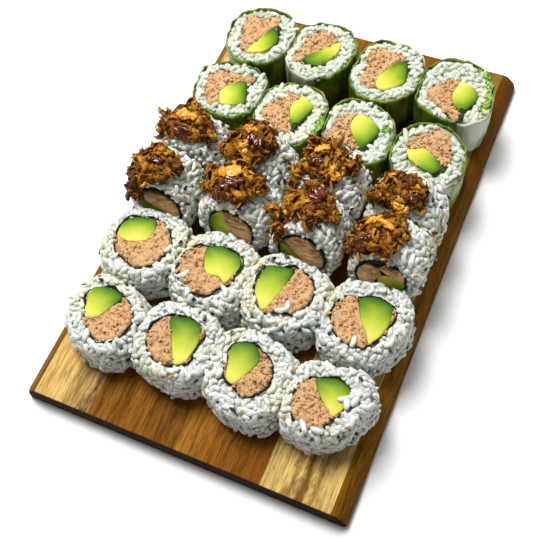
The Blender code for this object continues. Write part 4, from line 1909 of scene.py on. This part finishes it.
FRONT_PLACES = ((-60.0, -95.5), (-17.0, -95.8), (25.2, -95.7), (67.3, -98.2))
SECOND_PLACES = ((-60.0, -50.8), (-16.9, -51.2), (24.0, -49.6), (70.4, -50.5))
NEAR_LYING_PLACES = ((-64.0, -11.3), (-19.8, -10.8), (23.0, -11.3), (68.5, -10.8))
FAR_LYING_PLACES = ((-61.5, 17.0), (-21.0, 17.3), (22.5, 17.5), (67.0, 17.0))
NEAR_WRAPPED_PLACES = ((-59.0, 58.4), (-16.4, 53.6), (25.9, 54.5), (65.8, 53.7))
FAR_WRAPPED_PLACES = ((-55.0, 103.6), (-16.4, 103.1), (26.0, 102.3), (67.0, 100.9))
FRONT_CUTS = (
    Cut((1.5, -1.0), (15.0, 14.0, 13.5, 16.0, 18.5, 12.5, 11.0, 12.5, 15.5, 15.0),
        ((-13.0, 9.5), (-11.5, 13.0), (-5.5, 13.5), (1.5, 12.5), (6.0, 10.5), (-1.0, -3.0), (-6.5, -6.0),
         (-9.5, -2.5)),
        69.0),
    Cut((-1.8, 0.0), (13.0, 17.0, 14.5, 13.5, 13.5, 14.0, 14.0, 14.0, 14.5, 15.0),
        ((-8.0, 9.0), (0.5, 12.5), (11.0, 13.5), (11.0, 3.0), (10.0, -8.5), (7.5, -11.0), (3.5, -10.5),
         (-4.0, 2.5)),
        100.0),
    Cut((-0.9, -0.9), (12.5, 12.0, 11.5, 14.5, 16.0, 11.5, 13.0, 11.5, 14.5, 13.5),
        ((-13.0, 11.5), (-8.5, 12.5), (-2.5, 11.5), (4.0, 5.5), (-1.5, -5.5), (-4.5, -10.5),
         (-9.5, -9.5), (-12.5, 6.5)),
        79.0),
    Cut((-2.8, -1.5), (11.0, 16.5, 15.5, 13.0, 15.0, 14.0, 15.0, 15.0, 12.5, 10.0),
        ((-9.5, 9.0), (-6.5, 11.0), (0.5, 13.0), (6.5, 12.5), (11.0, 10.5), (7.0, 1.0), (4.5, -6.0),
         (1.5, -3.5), (-6.0, 3.0)),
        98.0),
)
SECOND_CUTS = (
    Cut((-1.0, 0.7), (16.5, 16.0, 16.0, 15.0, 17.5, 15.5, 15.0, 13.5, 16.0, 16.5),
        ((-17.5, 8.5), (-10.5, 13.0), (0.5, 13.5), (3.5, 10.0), (2.0, 2.0), (-3.5, -1.0), (-9.0, -2.5),
         (-14.5, -0.5)),
        103.0),
    Cut((-2.6, -1.8), (15.0, 19.5, 16.0, 14.0, 16.0, 16.0, 16.0, 15.0, 15.5, 13.5),
        ((-8.0, 9.5), (0.0, 13.0), (6.0, 13.0), (13.0, 12.0), (14.5, 5.5), (8.5, -6.5), (5.5, -3.5),
         (-1.5, -5.0), (-5.5, 0.0)),
        92.0),
    Cut((-0.5, -1.0), (15.5, 16.5, 15.5, 14.0, 17.5, 15.5, 15.0, 15.0, 11.5, 14.0),
        ((-15.5, 8.0), (-13.0, 11.5), (-6.5, 12.0), (0.0, 11.0), (1.0, 8.0), (-4.0, -12.0),
         (-6.5, -16.0), (-9.0, -16.0), (-13.5, -6.0)),
        85.0),
    Cut((-3.6, -0.7), (14.5, 18.5, 15.5, 12.0, 15.0, 15.5, 15.0, 15.0, 15.5, 14.0),
        ((-9.0, 10.0), (-1.5, 13.0), (4.5, 14.5), (11.0, 13.0), (10.5, 1.5), (8.5, -7.0), (5.0, -13.0),
         (2.0, -7.0), (-3.0, -2.0)),
        98.0),
)
NEAR_WRAPPED_CUTS = (
    Cut((0.2, 0.8), (13.0, 11.8, 18.4, 13.2, 12.2, 12.8, 15.1, 16.5,
         13.3, 14.2, 14.5, 14.8, 12.7, 12.5, 14.5, 17.3),
        ((-3.5, -3.0), (-1.0, 1.5), (2.5, 6.0), (7.5, 9.0), (10.0, 8.0), (15.5, -6.5), (11.5, -9.5),
         (0.5, -11.0)),
        28.0, (5.0, 60.0), (10.0,)),
    Cut((-1.9, 1.8), (12.7, 16.5, 13.7, 14.3, 13.6, 15.4, 11.1, 11.3,
         13.6, 15.8, 14.3, 13.1, 13.9, 15.5, 11.1, 10.9),
        ((-2.0, 5.5), (-0.5, 10.5), (2.0, 13.5), (6.5, 12.5), (13.0, 10.5), (9.0, -0.5), (4.0, -7.5),
         (1.5, -3.5)),
        -38.0, (-80.0, -15.0)),
    Cut((-4.1, 0.1), (14.7, 15.5, 14.0, 12.5, 13.1, 12.7, 14.3, 12.6,
         11.4, 14.5, 17.7, 12.1, 9.8, 12.5, 14.0, 13.2),
        ((-7.0, 3.0), (-6.5, 9.0), (-4.0, 12.5), (3.0, 10.5), (9.5, 7.0), (10.0, 1.5), (5.5, -9.5),
         (2.0, -8.5), (-4.5, -0.5)),
        -39.0, (-70.0, 0.0)),
    Cut((1.4, 2.6), (12.4, 11.2, 12.5, 15.9, 16.0, 12.9, 12.3, 13.4,
         13.3, 13.5, 13.4, 13.5, 13.5, 16.0, 14.4, 13.6),
        ((-12.0, -1.5), (-7.5, 0.5), (-2.5, 3.0), (3.0, 0.5), (9.0, -4.0), (12.5, -8.0), (7.5, -12.5),
         (2.5, -13.0), (-9.0, -7.5)),
        -31.0, (-70.0, -25.0), (-60.0,)),
)
FAR_WRAPPED_CUTS = (
    Cut((-2.3, 0.5), (12.7, 11.1, 11.6, 17.2, 12.7, 12.5, 17.9, 13.9,
         12.2, 10.8, 13.4, 16.6, 16.6, 15.2, 14.1, 13.6),
        ((-4.5, -16.0), (-4.5, -12.0), (-1.5, -4.5), (3.5, 8.0), (7.5, 4.5), (11.0, 0.0), (10.0, -4.5),
         (5.0, -9.5), (3.0, -13.0)),
        53.0, (10.0, 50.0), (0.0,)),
    Cut((-2.6, 0.6), (12.5, 13.8, 14.6, 14.0, 14.6, 14.1, 12.6, 10.5,
         10.3, 11.9, 17.7, 14.0, 13.1, 13.4, 11.6, 10.9),
        ((-9.0, -9.0), (-5.0, -3.5), (0.5, 1.0), (8.0, 10.5), (10.5, 7.5), (9.5, 1.5), (6.5, -6.0),
         (3.5, -12.5), (-5.0, -12.0)),
        -114.0, (-150.0, -95.0), (-150.0, -105.0)),
    Cut((-2.0, -0.6), (14.3, 13.5, 14.8, 14.9, 13.8, 16.2, 17.9, 13.7,
         11.1, 12.0, 16.3, 16.7, 14.4, 15.5, 14.6, 15.3),
        ((-4.0, -11.5), (-4.0, -6.0), (1.5, 5.0), (6.5, 8.0), (10.0, 4.0), (12.5, -6.0), (9.0, -11.0),
         (2.5, -15.5), (-1.5, -14.5)),
        53.0, (15.0, 60.0), (60.0,)),
    Cut((0.3, -5.3), (13.4, 14.9, 13.4, 12.4, 12.7, 13.2, 12.2, 13.7,
         15.2, 13.7, 11.3, 11.2, 12.9, 16.9, 11.4, 12.0),
        ((-1.0, -5.0), (0.5, 6.5), (5.5, 5.0), (14.0, 0.0), (13.0, -6.0), (6.5, -14.0), (2.5, -10.5)),
        -38.0, (-100.0, -35.0), (-50.0,)),
)
ROUND_RING = (13.5, 14.0, 14.0, 13.5, 13.5, 13.5, 13.0, 13.0, 13.0, 13.5)
NEAR_LYING_CUTS = (
    Cut((0.0, 0.0), ROUND_RING,
        ((-12.5, 3.5), (-6.5, 1.8), (-0.5, -0.8), (6.5, -3.3), (9.5, -6.0), (7.0, -10.0), (0.0, -12.5),
         (-11.5, -6.0)),
        200.0),
    Cut((0.0, 0.5), ROUND_RING,
        ((-11.0, 6.5), (-5.0, 12.5), (-3.0, 12.0), (-2.5, 6.0), (0.0, 1.0), (4.5, -2.5), (6.0, -7.0),
         (2.0, -11.5),
         (-10.5, -6.0), (-12.5, 0.0)), 190.0),
    Cut((0.0, 0.0), ROUND_RING,
        ((-11.5, 5.0), (-8.5, 4.0), (-4.5, -1.5), (0.5, -6.5), (4.0, -10.5), (-1.0, -12.5),
         (-8.0, -10.5), (-12.5, -4.0)),
        210.0),
    Cut((-1.0, 1.0), ROUND_RING,
        ((-3.0, 3.0), (4.0, 5.5), (9.0, 9.0), (12.0, 3.0), (12.0, -4.0), (8.0, -9.5), (3.0, -11.0),
         (-2.0, -6.0)), -60.0),
)
NEAR_STRIPS = (
    (((-13.0, 5.5), (-9.0, 9.8), (-2.5, 12.3), (4.5, 11.5), (10.5, 8.0), (13.2, 1.0), (12.0, -4.0),
      (7.0, -2.5),
      (-0.5, 0.0), (-6.5, 2.5)),),
    (((-3.5, 13.6), (0.0, 14.0), (5.6, 12.6), (10.5, 8.6), (13.2, 2.7), (12.2, -5.4), (5.5, -3.5),
      (0.5, 0.5),
      (-2.0, 6.0)),),
    (((-10.5, 8.8), (-4.5, 12.6), (2.0, 13.2), (8.0, 10.8), (12.6, 4.0), (12.4, -4.6), (7.5, -10.0),
      (1.5, -5.5),
      (-3.5, -0.5), (-8.0, 5.0)),),
    (((-14.2, 1.5), (-12.7, 6.2), (-8.7, 9.8), (-2.5, 9.5), (-0.5, 5.5), (-3.5, -0.5), (-5.0, -6.0),
      (-12.0, -5.0)),
     ((-3.0, 10.0), (1.5, 13.6), (6.5, 12.8), (11.0, 9.0), (12.0, 5.5), (8.0, 5.0), (3.0, 6.5))),
)
FRONT_STRAYS = (
    (3, 7.1, 4.3, 35.0, 1.8), (3, 10.3, 7.0, 60.0, 1.9), (3, 9.2, 3.0, 110.0, 2.2),
    (3, 11.8, 8.3, 20.0, 1.9),
    (3, 12.4, 5.2, 75.0, 1.8), (3, 0.8, -14.9, 5.0, 1.4), (3, -17.8, -6.3, 80.0, 1.0),
    (3, -6.0, -15.5, 130.0, 1.6),
    (1, 6.0, -15.5, 30.0, 1.2), (0, -2.5, -14.8, 100.0, 1.1), (2, 14.5, -6.0, 80.0, 1.3),
    (2, -13.8, -9.0, 60.0, 1.2),
)
SECOND_STRAYS = (
    (2, 5.5, -8.7, 100.0, 1.9), (2, 13.0, -10.3, 40.0, 1.5), (3, -2.4, -13.8, 95.0, 1.8),
    (2, 3.0, -11.8, 20.0, 1.5),
    (0, 15.5, 1.5, 80.0, 1.0), (1, -13.0, -9.5, 50.0, 1.2), (1, 12.0, -10.5, 130.0, 1.2),
    (3, 14.5, -8.0, 60.0, 1.2),
)
FRILLS = (
    Frill((67.0, 100.9), 66.0, 18.0, (19.0, 19.6)),
    Frill((67.0, 100.9), 22.0, -34.0, (18.6, 20.2)),
    Frill((-16.4, 53.6), 20.0, -40.0, (18.4, 20.4)),
    Frill((25.9, 54.5), 38.0, 16.0, (15.5, 15.0)),
)
MAYO_DROPS = (
    Drop("far_onion_heap_1", -62.8, 21.0, 9.0, 6.0, 20.0),
    Drop("far_onion_heap_2", -24.4, 23.6, 7.0, 4.0, -20.0),
    Drop("far_onion_heap_2", -23.7, 12.5, 7.0, 4.0, 80.0),
    Drop("near_onion_heap_2", -25.0, -5.1, 13.0, 8.0, 10.0),
    Drop("far_onion_heap_3", 16.7, 24.9, 7.0, 5.0),
    Drop("far_onion_heap_3", 27.9, 14.0, 6.0, 5.0),
    Drop("far_onion_heap_4", 66.7, 7.2, 7.0, 4.0, 40.0),
    Drop("near_onion_heap_4", 60.8, -6.5, 13.0, 4.5, -15.0),
)
SAUCE_DROPS = (
    Drop("far_onion_heap_1", -61.1, 10.7, 10.0, 6.0, -20.0),
    Drop("near_onion_heap_1", -67.0, -12.3, 9.0, 4.0, 20.0),
    Drop("far_onion_heap_2", -20.4, 18.1, 12.0, 5.0, 10.0),
    Drop("near_onion_heap_2", -22.0, -10.8, 12.0, 5.5, 20.0),
    Drop("near_onion_heap_2", -25.6, -18.1, 6.0, 8.0, 10.0),
    Drop("far_onion_heap_3", 14.9, 17.9, 8.0, 5.0),
    Drop("near_onion_heap_3", 24.6, -0.9, 9.0, 8.0, 60.0),
    Drop("far_onion_heap_4", 68.0, 11.4, 8.0, 5.0),
    Drop("near_onion_heap_4", 50.8, -16.5, 5.0, 4.0),
    Drop("near_onion_heap_4", 56.2, -15.3, 6.0, 4.0, 30.0),
)


def main() -> None:
    """Builds the platter row by row, then its toppings, the board's finish and the studio."""
    Studio().build()
    Board().dress()
    grains = GrainShapes().shapes()
    kit = Kit(
        rice=Rice(grains, sag=1.8),
        pressed_rice=Rice(grains, spacing=2.7, core_depth=1.2, loose=0.15, tilt=0.2),
        wrapped_rice=Rice(grains, spacing=2.5, core_depth=1.1, sink=0.8, loose=0.15, tilt=0.3, pressed=0.0,
                          scale=1.06, end_on=0.3),
        filling=Filling(CrumbShapes().shapes()),
        rice_finish=RiceFinish().material(),
        # Painted shade: the rice in the wraps gets a darker, greener copy of the rice finish.
        wrapped_rice_finish=RiceFinish("rice_in_wrap", (0.70, 0.74, 0.64), (0.46, 0.52, 0.40)).material(),
        nori_finish=NoriFinish().material(),
        scrap_finish=NoriFinish("leaf_scraps", (0.006, 0.014, 0.004), (0.045, 0.10, 0.014)).material(),
        tuna_finish=TunaFinish().material(),
        avocado_finish=AvocadoFinish().material(),
    )
    StandingRow("front_roll", FRONT_PLACES, FRONT_CUTS, FRONT_STRAYS, 100).build(kit)
    StandingRow("second_roll", SECOND_PLACES, SECOND_CUTS, SECOND_STRAYS, 200).build(kit)
    LyingRow("near_topped_roll", NEAR_LYING_PLACES, NEAR_LYING_CUTS, NEAR_STRIPS, 300).build(kit)
    LyingRow("far_topped_roll", FAR_LYING_PLACES, (), (), 400).build(kit)
    wrap = WrapFinish().material()
    WrappedRow("near_wrapped_roll", NEAR_WRAPPED_PLACES, NEAR_WRAPPED_CUTS, 500).build(kit, wrap)
    WrappedRow("far_wrapped_roll", FAR_WRAPPED_PLACES, FAR_WRAPPED_CUTS, 600).build(kit, wrap)
    Lettuce(FRILLS).build(LeafFinish().material())
    OnionHeaps().build(OnionShapes().shapes(), OnionFinish().material())
    mayo = GlazeFinish("orange_mayo", (0.80, 0.25, 0.012), (0.86, 0.46, 0.05), 0.25)
    sauce = GlazeFinish("brown_sauce", (0.15, 0.030, 0.002), (0.03, 0.005, 0.001))
    Drops("orange_mayo", MAYO_DROPS).build(mayo.material(), Slot.MAYO)
    Drops("brown_sauce", SAUCE_DROPS, 3.0, 60, 0.7).build(sauce.material(), Slot.SAUCE)
    Sesame().build(SeedShape().shapes())


if __name__ == "__main__":
    main()
